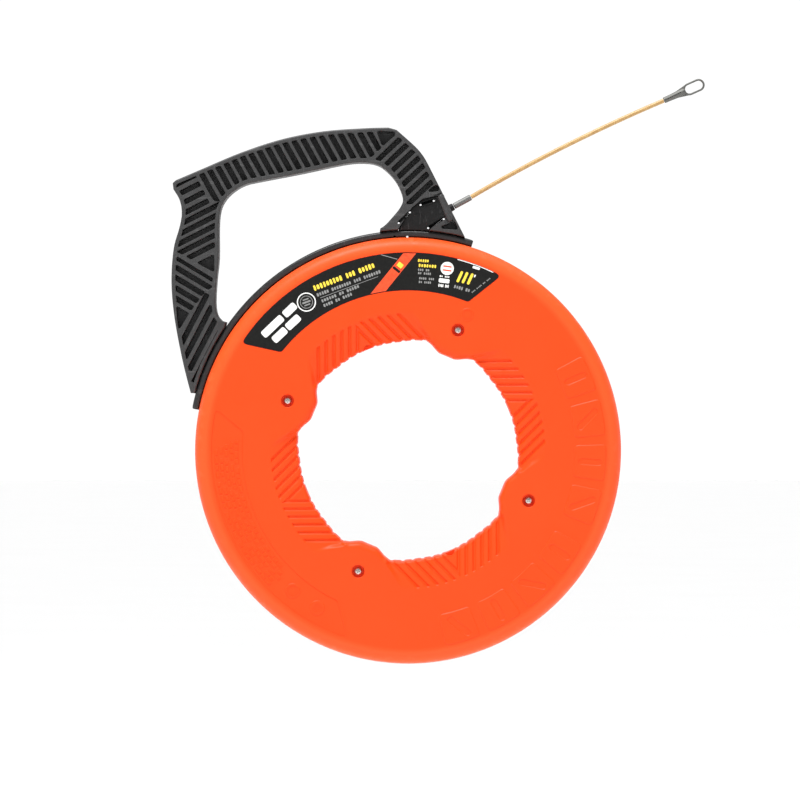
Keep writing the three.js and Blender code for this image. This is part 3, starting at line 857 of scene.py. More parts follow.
def sign_hollows(side):
    """The small ring's inside and the two signs' insides."""
    floor = FACE - PANEL_DEPTH
    top = CASE_HALF_DEPTH + 0.1
    square = rectangle(SQUARE_SIGN_PLACE, 240, 2.4, 2.4)
    return [
        side_disc(side, RING_PLACE, 3.5, FACE, top),
        side_disc(side, ROUND_SIGN_PLACE, 3.9, floor, top),
        prism(square, side * floor, side * top),
    ]


def label_outline(margin=0.0, corner=3.0):
    grow_angle = math.degrees(margin / LABEL_INNER)
    outer = arc_points(LABEL_OUTER + margin, 62 - grow_angle, 147.2 + grow_angle, 24)
    inner = arc_points(LABEL_INNER - margin, 142.1 + grow_angle, 68 - grow_angle, 24)
    return rounded([*outer, *inner], corner)


def case_shell(name, side):
    shell = shell_blank(side)
    add(shell, [joined_tools(bosses(side))])
    panel = loft(
        "panel",
        [(panel_outline(0.7), side * (FACE - PANEL_DEPTH)), (panel_outline(), side * (FACE + 1))],
    )
    cut(shell, [panel])
    add(shell, [joined_tools([*face_marks(side), *panel_marks(side), small_ring(side)])])
    cut(shell, [*screw_holes(side), *notches(side), *pad_slots(side), *sign_hollows(side)])
    if side > 0:
        bottom = LABEL_TOP - LABEL_THICKNESS - 0.1
        cut(shell, [prism(label_outline(0.25), bottom, CASE_HALF_DEPTH + 1)])
    shell.name = name
    return shell


front_shell = case_shell("front_shell", 1)
place_piece(front_shell, "case", "orange_plastic", ["case_front_shell"], orange)
rear_shell = case_shell("rear_shell", -1)
place_piece(rear_shell, "case", "orange_plastic", ["case_rear_shell"], orange)


# ---------- label ----------

INK = {"black": 0, "white": 1, "yellow": 2, "grey": 3, "red": 4}
INK_THICKNESS = 0.04
BADGE_PLACE = (-72.5, 106.0)
BAND_FOOT, BAND_HEAD = points((-21.9, 112.2), (1.8, 141.6))  # middle line of the slanted band
BAND_HALF_WIDTH = 3.6


def print_and_highlight_layer(outline, ink, lift=1.0):
    """A shape on the label as a very thin layer of ink; the thin white arc along the label's upper
    edge is made the same way and is a painted highlight.
    """
    shape = loft("ink", [(outline, LABEL_TOP - 0.08), (outline, LABEL_TOP + INK_THICKNESS * lift)])
    for material in LABEL_INKS:
        shape.data.materials.append(material)
    for face in shape.data.polygons:
        face.material_index = INK[ink]
    return shape


def bar(centre, length, height, angle, ink, lift=1.0):
    outline = rectangle(Vector(centre), angle, length / 2, height / 2)
    return print_and_highlight_layer(rounded(outline, height / 4, 2), ink, lift)


def dashes(centre, length, height, angle, ink, words):
    """A line of small blocks, in groups, which fills the place of a line of print."""
    units = sum(words) + len(words) - 1
    width = length / units
    made = []
    at = 0
    for word in words:
        for k in range(word):
            along = (at + 0.5) * width - length / 2
            centre_k = Vector(centre) + polar(along, angle)
            block = width * (0.62 + 0.16 * ((k * 5 + word) % 3) / 2)
            made.append(bar(centre_k, block, height * (0.86 if k % 3 == 1 else 1), angle, ink))
            at += 1
        at += 1
    return made


def stripe(from_edge, width, ink, lift, start, end):
    """A slanted band across the label, cut off by the label's own outline."""
    along = (BAND_HEAD - BAND_FOOT).normalized()
    across = Vector((along.y, -along.x))
    middle = BAND_FOOT + across * (from_edge + width / 2 - BAND_HALF_WIDTH)
    line = (BAND_HEAD - BAND_FOOT).length
    a = middle + along * (start * line)
    b = middle + along * (end * line)
    half = across * width / 2
    outline = clip(label_outline(-0.5, 2.5), [a - half, a + half, b + half, b - half])
    return print_and_highlight_layer(without_repeats(outline, 0.1), ink, lift)


def label_print_and_highlight_layers():
    """Plain bars, rings and dashes laid out where the label has its print, and a thin white arc that
    is a painted highlight on the label's upper edge.
    """
    print_and_highlight_layers = [
        bar((-96.6, 88.7), 19, 5.6, 43.5, "white"),
        bar((-84.4, 100.4), 11, 5.6, 43.5, "white"),
        bar((-91.6, 82.5), 12, 5.6, 43.5, "white"),
        bar((-82.0, 91.6), 12, 5.6, 43.5, "white"),
        *dashes((-45.8, 124.0), 46.9, 4.0, 21, "yellow", (9, 3, 5)),
        *dashes((-42.4, 119.4), 48.7, 2.5, 20.5, "grey", (5, 8, 3, 7)),
        bar((-42.0, 116.6), 44, 0.35, 20.3, "grey"),
        *dashes((-48.4, 112.0), 29.2, 2.3, 22, "grey", (6, 2, 5)),
        *dashes((-50.2, 107.6), 22.3, 2.3, 23, "grey", (4, 2, 4)),
        stripe(0, 7.2, "red", 0.6, -0.2, 1.2),
        stripe(1.6, 4.0, "yellow", 0.9, 0.64, 0.73),
        stripe(0.5, 6.2, "black", 0.9, 0.55, 0.6),
        stripe(0.9, 5.4, "black", 0.9, 0.635, 0.65),
        bar((-13.5, 138.2), 12, 0.5, -15.5, "grey"),
        *dashes((10.9, 135.5), 8.0, 2.1, -4, "yellow", (5,)),
        *dashes((13.8, 131.8), 13.0, 2.3, -4, "yellow", (7,)),
        *dashes((11.1, 128.9), 8.5, 1.7, -4, "grey", (3, 2)),
        *dashes((11.7, 126.4), 9.5, 1.7, -4, "grey", (2, 4)),
        *dashes((13.2, 122.7), 11.0, 1.7, -4, "grey", (4, 3)),
        *dashes((12.0, 120.1), 9.0, 1.7, -4, "grey", (2, 4)),
        print_and_highlight_layer(arc_points(4.7, 0, 352, 44, (27.9, 130.0)), "white"),
        bar((28.1, 131.4), 6.0, 1.0, -8, "red", 1.6),
        bar((27.8, 128.6), 6.4, 1.0, -8, "red", 1.6),
        *dashes((26.0, 124.2), 7.2, 1.3, -7, "white", (2, 3)),
        bar((25.7, 121.2), 7.6, 3.0, -7, "white"),
        *dashes((25.3, 117.6), 7.6, 2.2, -7, "white", (4, 3)),
        bar((36.9, 124.1), 1.9, 8.6, -25, "yellow"),
        bar((40.6, 123.4), 1.9, 8.6, -25, "yellow"),
        bar((44.3, 122.5), 1.9, 8.6, -25, "yellow"),
        bar((47.6, 124.6), 1.0, 2.0, -25, "white"),
        *dashes((38.4, 115.7), 12.0, 2.5, -16, "grey", (4, 2)),
        bar((48.6, 130.4), 5.2, 1.8, -17, "white"),
        *dashes((52.0, 117.9), 17.0, 0.9, 38, "grey", (3, 4, 2, 3)),
    ]
    # painted highlight: a thin white arc for the light caught by the label's raised upper edge, not
    # print
    print_and_highlight_layers.append(print_and_highlight_layer(arc_block(LABEL_OUTER - 0.75, LABEL_OUTER - 0.2, 64.5, 75.5), "white"))
    return print_and_highlight_layers


def ring_print(centre, radius, width, ink):
    """A ring of print, as two half rings."""
    return [
        print_and_highlight_layer(
            [
                *arc_points(radius, start, start + 179.5, 24, centre),
                *arc_points(radius - width, start + 179.5, start, 24, centre),
            ],
            ink,
        ) for start in (0, 180)
    ]


def case_label():
    edge = label_outline(0, 3)
    bevel = 0.05
    levels = [(0, LABEL_TOP - LABEL_THICKNESS), (0, LABEL_TOP - bevel), (bevel, LABEL_TOP)]
    label = stepped("label", edge, levels)
    for material in LABEL_INKS:
        label.data.materials.append(material)
    print_and_highlight_layers = [*label_print_and_highlight_layers(), *ring_print(BADGE_PLACE, 6.8, 0.8, "white")]
    print_and_highlight_layers += ring_print(BADGE_PLACE, 4.6, 0.45, "grey")
    print_and_highlight_layers.append(bar(BADGE_PLACE, 6.2, 1.3, 20, "grey"))
    print_and_highlight_layers.append(bar((-73.1, 107.9), 4.4, 0.9, 20, "grey"))
    print_and_highlight_layers.append(bar((-71.9, 104.1), 4.4, 0.9, 20, "grey"))
    add(label, print_and_highlight_layers)
    label.name = "printed_label"
    return label


label = case_label()
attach(label, "case")
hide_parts("case_label")


# ---------- case fasteners and the tape's anchor ----------


def front_axis(place, front=0.0):
    return (place.x, front, place.y)


SCREW_RADIUS = 1.5
SCREW_END = -23.4
THREAD_START = -22.6
THREAD_PITCH = 0.5
THREAD_DEPTH = 0.2
THREAD_COUNT = 11
HEAD_RADIUS = 2.8
HEAD_STEP = 0.9  # straight part of the head, under its dome
DOME_HEIGHT = 1.5
NUT_RADIUS = 3.6  # to the corners
NUT_HEIGHT = 2.4


def case_screw(number, place):
    """A domed screw head with a cross recess, its threaded shank and its rounded end."""
    head = RECESS_FLOOR + GAP
    profile = [(0, SCREW_END), (1.2, SCREW_END), (SCREW_RADIUS, SCREW_END + 0.3)]
    for k in range(THREAD_COUNT):
        front = THREAD_START + THREAD_PITCH * k
        profile += [(SCREW_RADIUS, front), (SCREW_RADIUS - THREAD_DEPTH, front + THREAD_PITCH / 2)]
    profile += [(SCREW_RADIUS, -16.8), (SCREW_RADIUS, head)]
    profile += [(HEAD_RADIUS, head), (HEAD_RADIUS, head + HEAD_STEP)]
    for i in range(1, 9):
        turn = math.pi / 2 * i / 8
        dome = head + HEAD_STEP + DOME_HEIGHT * math.sin(turn)
        profile.append((HEAD_RADIUS * math.cos(turn), dome))
    profile[-1] = (0, head + HEAD_STEP + DOME_HEIGHT)
    screw = lathe(f"cross_screw_{number}", profile, front_axis(place), (0, 1, 0), 32)
    slots = []
    for angle in (20, 110):
        wide = rectangle(place, angle + 17 * number, 1.75, 0.42)
        deep = rectangle(place, angle + 17 * number, 0.6, 0.28)
        slots.append(loft("slot", [(deep, head + 0.5), (wide, head + 3)]))
    return cut_each(screw, slots)


def hex_nut(number, place):
    """A hexagon nut with rounded corners, on the rear side."""
    bottom = -(RECESS_FLOOR + GAP)
    rear_end = bottom - NUT_HEIGHT
    round_blank = [(0, 0), (3.2, 0), (3.75, 0.4), (3.75, 2.0), (3.2, NUT_HEIGHT), (0, NUT_HEIGHT)]
    nut = lathe(f"hex_nut_{number}", round_blank, front_axis(place, rear_end), (0, 1, 0), 48)
    corners = [place + polar(NUT_RADIUS, 60 * k + 11 * number) for k in range(6)]
    combine(nut, "INTERSECT", [prism(corners, bottom - 3, bottom + 1)])
    return cut(nut, [disc(place, 1.6, bottom - 3, bottom + 1, 32)])


for number, place in enumerate(screw_places, 1):
    screw, nut = case_screw(number, place), hex_nut(number, place)
    place_piece(screw, "case", "fastener_steel", [f"case_screw_{number}"], zinc)
    place_piece(nut, "case", "fastener_steel", [f"case_nut_{number}"], zinc)

CLIP_ANGLE = 202.5
CLIP_RADIUS = 93.5
clip_place = polar(CLIP_RADIUS, CLIP_ANGLE)


def anchor_clip():
    """The nylon clip that grips the tape's inner end."""
    inner, outer = CLIP_RADIUS - 5, CLIP_RADIUS + 5.5
    outline = rounded(arc_block(inner, outer, CLIP_ANGLE - 5, CLIP_ANGLE + 5), 1.6)
    clip = stepped("anchor_clip", outline, [(0.4, -5), (0, -4.6), (0, 2.6), (0.4, 3)])
    return cut(clip, [disc(clip_place, 1.6, -6, 4, 24)])


def anchor_screw():
    """A pointed screw with a flat bevelled head and a straight slot."""
    profile = [(0, -14), (0.8, -14), (1.3, -12.5), (1.3, 3.3)]
    profile += [(2.6, 3.3), (2.6, 4.3), (1.9, 4.9), (0, 4.9)]
    screw = lathe("anchor_screw", profile, front_axis(clip_place), (0, 1, 0), 32)
    return cut(screw, [prism(rectangle(clip_place, 35, 1.9, 0.35), 4.2, 6)])


place_piece(anchor_clip(), "case", "black_nylon", ["tape_anchor_clip"], clip_nylon)
place_piece(anchor_screw(), "case", "fastener_steel", ["tape_anchor_screw"], zinc)


# ---------- tape ----------

LAYER_TURNS = 6
TURNS = 41
COIL_TOP = 134.2
COIL_SPREAD = 9.2


def coil_centre(turn):
    """A point on the wound tape, counted in turns from its inner end."""
    layers = math.ceil(TURNS / LAYER_TURNS)
    layer, within = divmod(turn, LAYER_TURNS)
    across = mix(-COIL_SPREAD, COIL_SPREAD, within / LAYER_TURNS)
    climb = blend(within, LAYER_TURNS - 0.25, LAYER_TURNS)
    radius = COIL_TOP - 3.5 * (layers - 1 - layer - climb)
    radius = min(radius, COIL_TOP)
    spot = polar(radius, EXIT_ANGLE + 90 + 360 * (TURNS - turn))
    return Vector((spot.x, across if layer % 2 else -across, spot.y))


def wound_tape():
    count = 90 * TURNS
    centres = [coil_centre(TURNS * i / count) for i in range(count + 1)]
    return tube("wound_tape", centres, circle_section(TAPE_RADIUS - 0.02, 8))


run_start = polar(TAPE_CIRCLE, EXIT_ANGLE + 90)


def along_run(distance):
    return run_start + polar(distance, EXIT_ANGLE)


def run_axis():
    along = polar(1, EXIT_ANGLE)
    return (along.x, 0, along.y)


def on_run(name, profile, distance, closed=False, segments=32):
    return lathe(name, profile, front_axis(along_run(distance)), run_axis(), segments, closed)


def straight_tape():
    profile = [(0, 1.5), (TAPE_RADIUS - 0.3, 1.5), (TAPE_RADIUS, 1.8)]
    profile += [(TAPE_RADIUS, mix(1.8, BUSHING_END, i / 40)) for i in range(1, 41)]
    profile += [(0, BUSHING_END)]
    return on_run("straight_tape", profile, 0, segments=20)


def ferrule():
    """A plain steel sleeve with bevelled ends."""
    bevel = 0.45
    profile = [(0, 0), (FERRULE_RADIUS - bevel, 0), (FERRULE_RADIUS, bevel)]
    profile.append((FERRULE_RADIUS, FERRULE_LENGTH - bevel))
    profile += [(1.8, FERRULE_LENGTH), (0, FERRULE_LENGTH)]
    return on_run("crimped_ferrule", profile, BUSHING_END + GAP)


def bushing():
    length = BUSHING_END - BUSHING_START
    bore = TAPE_RADIUS + GAP
    profile = [
        (bore, 0), (3.4, 0), (3.4, length - 4.8), (2.8, length - 4), (2.6, length - 0.6),
        (2.4, length), (bore + 0.3, length), (bore, length - 0.3),
    ]
    return on_run("nose_nub", profile, BUSHING_START, closed=True)


place_piece(wound_tape(), "coil", "fibreglass_tape", ["tape_coil"], tape_resin)
place_piece(straight_tape(), "lead", "fibreglass_tape", ["tape_lead"], tape_resin)
place_piece(ferrule(), "lead", "eye_steel", ["leader_ferrule"], ferrule_steel)
place_piece(bushing(), "handle", "black_nylon", ["nose_bushing"], guide_nylon)

ROD_RADIUS = 1.6
ROD_START_ANGLE = 30.5
ROD_END_ANGLE = 23
ROD_HANDLE = 50
rod_start = along_run(BUSHING_END + FERRULE_LENGTH + 2 * GAP)
rod_end = Vector((183.4, 251))


def rod_point(t):
    """The rod's slight bow, a cubic curve from the ferrule to the eye."""
    leaving = rod_start + polar(ROD_HANDLE, ROD_START_ANGLE)
    arriving = rod_end - polar(ROD_HANDLE, ROD_END_ANGLE)
    u = 1 - t
    spot = rod_start * u**3 + leaving * 3 * u * u * t + arriving * 3 * u * t * t + rod_end * t**3
    return Vector((spot.x, 0, spot.y))


def leader_rod():
    """A smooth round resin rod."""
    steps = 90
    centres = [rod_point(i / steps) for i in range(steps + 1)]
    return tube("resin_rod", centres, circle_section(ROD_RADIUS, 24))


place_piece(leader_rod(), "lead", "leader_rod", ["leader_rod"], rod_resin)

EYE_ANGLE = 24
SHANK_LENGTH = 16.4
LOOP_CENTRE = 23.5
EYE_EDGES = [(0.45, -1.2), (0.1, -0.85), (0, -0.4), (0, 0.4), (0.1, 0.85), (0.45, 1.2)]
NECK_EDGES = [(0.3, -1.2), (0, -0.6), (0, 0.6), (0.3, 1.2)]
HOLE_EDGES = [(-0.6, -1.5), (-0.35, -1.1), (0, -0.6), (0, 0.6), (-0.35, 1.1), (-0.6, 1.5)]
eye_start = rod_end + polar(GAP, ROD_END_ANGLE)


def eye_place(along, across=0.0):
    """A point of the eye, measured from the shank's end along and across its direction."""
    return eye_start + polar(along, EYE_ANGLE) + polar(across, EYE_ANGLE + 90)


def loop_line(radius, half_straight, count=24):
    """A long loop around its centre, as points in the plan."""
    line = []
    for sign in (1, -1):
        for i in range(count + 1):
            turn = math.radians(mix(-90, 90, i / count))
            along = LOOP_CENTRE + sign * (half_straight + radius * math.cos(turn))
            line.append(eye_place(along, sign * radius * math.sin(turn)))
    return line


def pulling_eye():
    """A stamped eye: a rolled shank with its seam, and a flat rounded loop."""
    axis = polar(1, EYE_ANGLE)
    profile = [
        (0, 0), (1.95, 0), (2.15, 0.3), (2.2, 4), (2.4, 9), (2.75, 13), (2.8, SHANK_LENGTH - 0.8),
        (2.2, SHANK_LENGTH + 0.4), (0, SHANK_LENGTH + 0.8),
    ]
    shank = lathe("eye", profile, front_axis(eye_start), (axis.x, 0, axis.y), 40)
    outer, inner = loop_line(4.5, 3.55), loop_line(3.1, 3.55)
    neck = [eye_place(9, -2.2), eye_place(19.4, -4.3), eye_place(19.4, 4.3), eye_place(9, 2.2)]
    plate = stepped("plate", outer, EYE_EDGES)
    eye = add(shank, [plate, stepped("neck", counter_clockwise(neck), NECK_EDGES)])
    eye = cut(eye, [stepped("hole", inner, HOLE_EDGES)])
    seam = capsule([eye_place(0.8), eye_place(8), eye_place(13.2, 0.4)], 0.22)
    cut(eye, [prism(seam, 1.3, 4)])
    eye.name = "stamped_eye"
    return eye


place_piece(pulling_eye(), "lead", "eye_steel", ["pulling_eye"], eye_steel)


# ---------- handle ----------

left_edge = points(
    (-155.5, 41), (-161.3, 64), (-167, 94), (-169.3, 120), (-167.8, 144), (-163.7, 159.2),
    (-161.9, 169.4), (-163.4, 179), (-168.7, 188),
)
top_edge = points(
    (-166.2, 193.4), (-148.4, 201), (-119.2, 213.3), (-90, 222.8), (-60.7, 228.4), (-31.5, 230.6),
    (-14, 231.1),
)
right_edge = points((-8.1, 229.4), (5, 217.7), (10.9, 210.8), (15.3, 203.1))
window_edge = points(
    (-21.2, 158.2), (-16.3, 161.4), (-10.8, 167.4), (-6.1, 173.2), (-3.7, 179), (-5.3, 186),
    (-9, 193), (-14.5, 199.3), (-21.5, 204.3), (-31.5, 206), (-46, 204.8), (-75, 198.6),
    (-104.6, 192.9), (-116.3, 190.2), (-124.5, 185.5), (-130.5, 179.5), (-134, 172), (-135.2, 160),
    (-135.2, 138), (-136.8, 122), (-137.6, 106), (-136.3, 97.5), (-133, 93), (-128.6, 91.8),
)
outer_line = [
    *smooth_line(left_edge, 5), Vector((-168.4, 191.3)), *smooth_line(top_edge, 5),
    *smooth_line(right_edge, 4), polar(FOOT_RADIUS, 75),
]
window_line = smooth_line(window_edge, 3)
handle_outline = without_repeats(
    [
        *outer_line,
        *arc_points(FOOT_RADIUS, 77, 97.4, 14),
        *window_line,
        *arc_points(FOOT_RADIUS, 144.6, 165, 14),
    ],
    2.0,
)
pocket_area = [
    *offset_line(outer_line, POCKET_BORDER),
    *offset_line(window_line, POCKET_BORDER),
    *arc_points(FOOT_RADIUS + POCKET_BORDER, 147.5, 162, 8),
]

# Families of parallel pockets: angle, first centre, last centre, how many, half length and
# the zone that the family keeps to.
POCKET_FAMILIES = [
    (
        -61,
        (-139.8, 183.9),
        (-19.8, 213.6),
        20,
        24,
        points(
            (-156, 204), (-138.6, 178.5), (-125, 176), (-38, 199), (-8, 226.2), (-8, 240), (-156, 240)
        ),
    ),
    (43, (-13.5, 215.4), (9.6, 185.1), 7, 24, points((-60, 176), (60, 176), (60, 240), (-60, 240))),
    (
        27,
        (-159.4, 193.3),
        (-151.4, 174.2),
        4,
        20,
        points((-175, 160), (-141, 174), (-141.5, 176.3), (-153, 199.5), (-175, 203)),
    ),
    (
        27,
        (-149.2, 168.7),
        (-148, 142.3),
        5,
        22,
        points((-175, 150), (-164.5, 141.6), (-136, 126.3), (-125, 126), (-125, 185), (-175, 165)),
    ),
    (
        -31,
        (-152.5, 130.3),
        (-160.7, 105.6),
        5,
        20,
        points((-175, 145), (-175, 90), (-158.5, 95.5), (-145, 113.5), (-139.5, 116.5), (-136, 121)),
    ),
    (
        62.5,
        (-153.2, 93.5),
        (-143.6, 67.2),
        4,
        21,
        points((-175, 40), (-120, 40), (-120, 120), (-175, 120)),
    ),
]
CORNER_POCKETS = [
    points((-22, 227.4), (-19, 218.8), (-17.5, 218), (-9.4, 225.3), (-9.4, 228), (-21.5, 228.6)),
    points((-151.4, 134.3), (-138.6, 127.3), (-138.6, 140.5)),
    points((-166, 103.8), (-164.1, 85.4), (-156.6, 98.2)),
    points((14.5, 186), (15.5, 184.8), (21.2, 185.3), (22.6, 187.2), (20.8, 190), (18, 189)),
    points((23.6, 160.3), (24.6, 158.6), (36.2, 157.7), (33.1, 164.4)),
]
SMALLEST_POCKET = 6  # square millimetres
POCKET_ROUNDING = 1.3


def pocket_outlines():
    shapes = []
    for angle, first, last, count, half_length, zone in POCKET_FAMILIES:
        for k in range(count):
            centre = Vector(first).lerp(Vector(last), k / (count - 1))
            strip = rectangle(centre, angle, half_length, POCKET_WIDTH / 2)
            shapes.append(clip(zone, strip))
    kept = [rounded(counter_clockwise(shape), POCKET_ROUNDING) for shape in CORNER_POCKETS]
    for shape in shapes:
        if len(shape) < 3:
            continue
        inside = clip(pocket_area, counter_clockwise(shape))
        if len(inside) < 3:
            continue
        inside = without_repeats(inside)
        if len(inside) > 2 and abs(signed_area(inside)) > SMALLEST_POCKET:
            kept.append(rounded(inside, POCKET_ROUNDING))
    return kept


def pocket_cutter(outline, side):
    top = HANDLE_HALF_DEPTH
    levels = [(0.3, POCKET_FLOOR), (0, top - 0.35), (-0.35, top + 0.05), (-0.35, top + 2)]
    return stepped("pocket", outline, levels, side)


def edge_levels(half_depth, rounding, steps=5):
    """(inset, front) pairs over the rounded edges of a plate, with a fine parting line in
    the middle plane."""
    quarter = []
    for i in range(steps + 1):
        turn = math.pi / 2 * i / steps
        inset = rounding * (1 - math.sin(turn))
        quarter.append((inset, half_depth - rounding * (1 - math.cos(turn))))
    rear = [(inset, -front) for inset, front in quarter]
    return [*rear, (0, -0.35), (0.25, 0), (0, 0.35), *quarter[::-1]]


guide_corners = [
    *arc_points(FOOT_RADIUS, 92.7, 84.8, 6),
    *points((26.4, 167.5), (22, 182.5), (10.7, 180.1), (2.8, 173.7)),
]
GUIDE_TOP = HANDLE_HALF_DEPTH - 2
guide_slots = [
    points((9.0, 176.1), (18.5, 179.1)),
    points((1.3, 170.8), (-6.7, 163.1)),
    points((25.6, 166.0), (14.4, 159.5)),
]
guide_dots = points(
    (9.0, 176.1), (18.5, 179.1), (1.3, 170.8), (-6.7, 163.1), (25.6, 166.0), (14.4, 159.5)
)
MARK_PLACE = Vector((6.9, 165.4))  # shallow round mark on the guide
MARK_RADIUS = 4.4
SLOT_WEB = 2  # half thickness left at the bottom of the guide's slots


def tape_channel():
    return on_run("channel", [(0, 10), (2.6, 10), (2.6, 120), (0, 120)], 0)


def slot_cutters():
    """Three slots from each side, and the dots that go right through at their ends."""
    tools = [disc(dot, 0.75, -SLOT_WEB - 1, SLOT_WEB + 1, 20) for dot in guide_dots]
    for side in (1, -1):
        for line in guide_slots:
            tools.append(prism(capsule(line, 1.05), side * SLOT_WEB, side * 17))
    return tools


nose_start, nose_end = points((22.5, 183.9), (30.7, 163.6))
NOSE_RADIUS = 2.5
NOSE_BAND_HALF_LENGTH = 11.4  # the flat band that the bar lies in
NOSE_BAND_HALF_WIDTH = 4.4
NOSE_FLOOR = HANDLE_HALF_DEPTH - NOSE_RADIUS - 0.1


def nose_bar(side):
    """The rounded bar over the nose, where the tape comes out."""
    along = nose_end - nose_start
    length = along.length
    profile = []
    for i in range(9):
        turn = math.pi / 2 * i / 8
        profile.append((NOSE_RADIUS * math.sin(turn), NOSE_RADIUS * (1 - math.cos(turn))))
    profile += [(radius, length - at) for radius, at in reversed(profile)]
    place = (nose_start.x, side * NOSE_FLOOR, nose_start.y)
    return lathe("nose", profile, place, (along.x, 0, along.y), 32)


def handle_body():
    levels = edge_levels(HANDLE_HALF_DEPTH, 1.2)
    handle = loft(
        "handle", [(grow(handle_outline, -0.1 - inset), front) for inset, front in levels]
    )
    outlines = pocket_outlines()
    cut(handle, [pocket_cutter(outline, side) for outline in outlines for side in (1, -1)])
    through = HANDLE_HALF_DEPTH + 1
    seat = prism(grow(rounded(guide_corners, 0.9), 0.12), -through, through)
    mouth = prism(points((-7.4, 150), (14.4, 150), (14.4, 159), (-7, 159)), -through, through)
    bore = on_run("bore", [(0, 96), (3.7, 96), (3.7, 120), (0, 120)], 0)
    middle = (nose_start + nose_end) / 2
    lean = math.degrees(math.atan2(*(nose_end - nose_start).yx))
    band = rectangle(middle, lean, NOSE_BAND_HALF_LENGTH, NOSE_BAND_HALF_WIDTH)
    flats = [prism(band, side * NOSE_FLOOR, side * 17) for side in (1, -1)]
    cut_each(handle, [seat, mouth, *flats])
    add(handle, [nose_bar(1), nose_bar(-1)])
    cut_each(handle, [bore, *slot_cutters()])
    handle.name = "ribbed_handle"
    return handle


# ---------- rail and tape guides ----------

RAIL_START = 72.7
RAIL_END = 169
rail_half_section = [
    (157.5, 0), (157.5, 11), (157.35, 11.8), (156.9, 12.5), (156.3, 12.9), (155.6, 13), (153.7, 13),
    (153.2, 12.8), (153, 12.4), (153, 3.4), (152.7, 2.75), (152, 2.5), (150, 2.5), (149.4, 2.7),
    (149.2, 3.3), (149.2, 7.5), (148.8, 8), (146.1, 8), (145.6, 7.5), (145.6, 0),
]
rail_dots = [polar(153.4, 93.6), polar(153.4, 90.2)]


def guide_rail():
    """An I-shaped rail swept around the case's slot, with eased ends."""
    rear = [(radius, -front) for radius, front in rail_half_section[-2:0:-1]]
    section = [*rail_half_section, *rear]
    steps = [0, 0.1, 0.3, 0.6, 1]
    angles = [RAIL_START + step for step in steps]
    angles += [mix(RAIL_START + 1, RAIL_END - 1, i / 150) for i in range(1, 150)]
    angles += [RAIL_END - step for step in reversed(steps)]
    build = bmesh.new()
    rings = []
    for degrees in angles:
        from_end = min(degrees - RAIL_START, RAIL_END - degrees)
        share = 0.72 + 0.28 * math.sqrt(1 - (1 - min(from_end, 1)) ** 2)
        ring = []
        for radius, front in section:
            spot = polar(155.2 + (radius - 155.2) * share, degrees)
            ring.append(build.verts.new(to_row(spot.x, front * (0.8 + 0.2 * share), spot.y)))
        rings.append(ring)
    for low, high in zip(rings, rings[1:]):
        bridge(build, low, high)
    build.faces.new(rings[0])
    build.faces.new(rings[-1])
    rail = to_object("rail", build)
    cut_each(rail, [tape_channel(), *[disc(dot, 0.9, -14, 14, 24) for dot in rail_dots]])
    rail.name = "saddle_rail"
    return rail


def guide_plate(name, side):
    """One half of the tape guide, with its slots and a shallow round mark."""
    outline = rounded(guide_corners, 0.9)
    top = GUIDE_TOP
    levels = [(0, 0.15), (0, top - 0.7), (0.2, top - 0.2), (0.7, top)]
    plate = stepped("guide", outline, levels, side)
    rim = relief(side, capsule(guide_slots[0], 1.6), GUIDE_TOP, GUIDE_TOP + 0.6, 0.25)
    add(plate, [rim])
    mark = side_disc(side, MARK_PLACE, MARK_RADIUS, GUIDE_TOP - 0.35, GUIDE_TOP + 1)
    cut_each(plate, [tape_channel(), mark, *slot_cutters()])
    plate.name = name
    return plate


place_piece(handle_body(), "handle", "black_nylon", ["handle_body"], nylon)
place_piece(guide_rail(), "handle", "black_nylon", ["guide_rail"], rail_nylon)
front_guide = guide_plate("front_guide_plate", 1)
place_piece(front_guide, "handle", "black_nylon", ["tape_guide_front"], guide_nylon)
rear_guide = guide_plate("rear_guide_plate", -1)
place_piece(rear_guide, "handle", "black_nylon", ["tape_guide_rear"], guide_nylon)


# ---------- floor, light and camera ----------

CAMERA_DISTANCE = 4.0  # from the plane where the rim is widest
VIEW_WIDTH = 0.5729  # width of the view at that distance
VIEW_MIDDLE = (-5.76, 36.18)  # reel millimetres
FLOOR_DROP = 0.3  # metres below the case
FLOOR_RADIUS = 30
RIM_FRONT = 8  # how far that plane lies in front of the middle plane


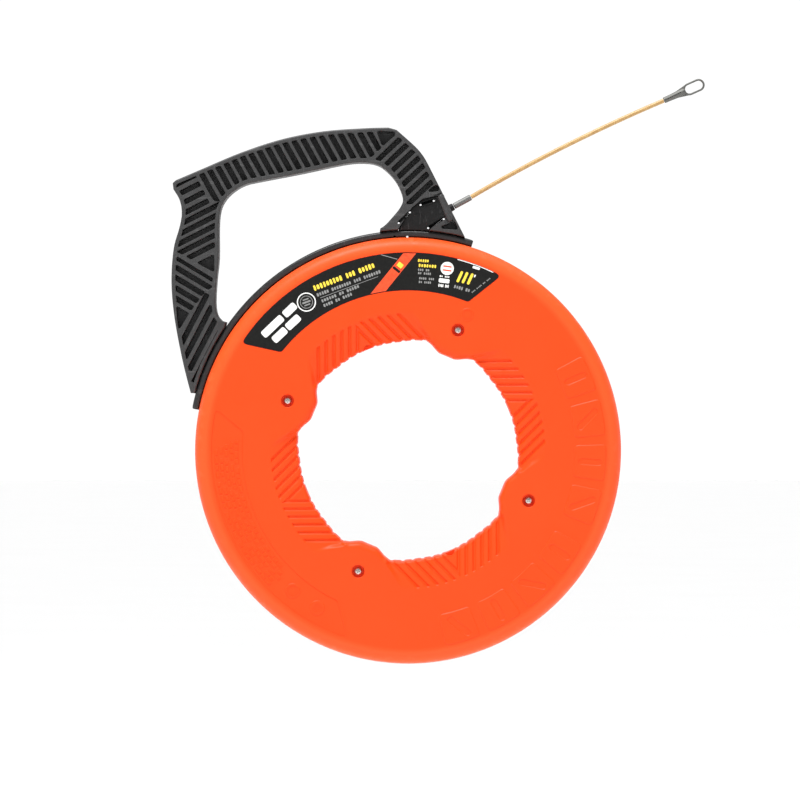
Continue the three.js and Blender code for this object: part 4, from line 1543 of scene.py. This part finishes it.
def floor():
    """A plain pale disc well under the case."""
    build = bmesh.new()
    place = Matrix.Translation((0, 0, shell_low.z - FLOOR_DROP))
    bmesh.ops.create_circle(build, cap_ends=True, segments=96, radius=FLOOR_RADIUS, matrix=place)
    made = to_object("floor", build)
    material, tree, shader = new_material("pale_floor")
    colour = mix_colour(tree, noise(tree, 3, 2), (0.93, 0.93, 0.93), (0.96, 0.96, 0.96))
    roughness = plus(tree, times(tree, noise(tree, 8, 2), 0.1), 0.7)
    finish_material(tree, shader, colour, roughness, [(noise(tree, 40, 2), 0.0001)])
    made.data.materials.append(material)


def studio_sky():
    """White light from the horizon and from straight above, and less in between."""
    world = bpy.data.worlds.new("studio")
    bpy.context.scene.world = world
    world.use_nodes = True
    tree = world.node_tree
    direction = add_node(tree, "TexCoord").outputs["Generated"]
    up = add_node(tree, "SeparateXYZ", {"Vector": direction}).outputs["Z"]
    level = ramp(tree, up, (0.2, 0.5), (0.4, 0.13), (0.7, 0.13), (0.85, 1.0))
    strength = times(tree, level, 2.1)
    tree.links.new(strength, tree.nodes["Background"].inputs["Strength"])
    tree.nodes["Background"].inputs["Color"].default_value = (1, 1, 1, 1)


def softbox(name, place, target, size, watts):
    light = bpy.data.lights.new(name, "AREA")
    light.shape = "RECTANGLE"
    light.size, light.size_y = size
    light.energy = watts
    made = bpy.data.objects.new(name, light)
    bpy.context.scene.collection.objects.link(made)
    made.location = place
    made.rotation_euler = (Vector(target) - Vector(place)).to_track_quat("-Z", "Y").to_euler()


def camera():
    lens = bpy.data.cameras.new("camera")
    lens.sensor_width = 36
    lens.lens = lens.sensor_width * CAMERA_DISTANCE / VIEW_WIDTH
    lens.clip_end = 100
    made = bpy.data.objects.new("camera", lens)
    bpy.context.scene.collection.objects.link(made)
    x, z = VIEW_MIDDLE
    made.location = to_row(x, RIM_FRONT + CAMERA_DISTANCE / MM, z)
    made.rotation_euler = (math.pi / 2, 0, 0)
    bpy.context.scene.camera = made


floor()
studio_sky()
middle = to_row(0, 0, 40)
softbox("top_softbox", middle + Vector((-0.5, -0.95, 2.3)), middle, (1.1, 0.9), 66)
camera()
bpy.context.scene.view_settings.view_transform = "Standard"
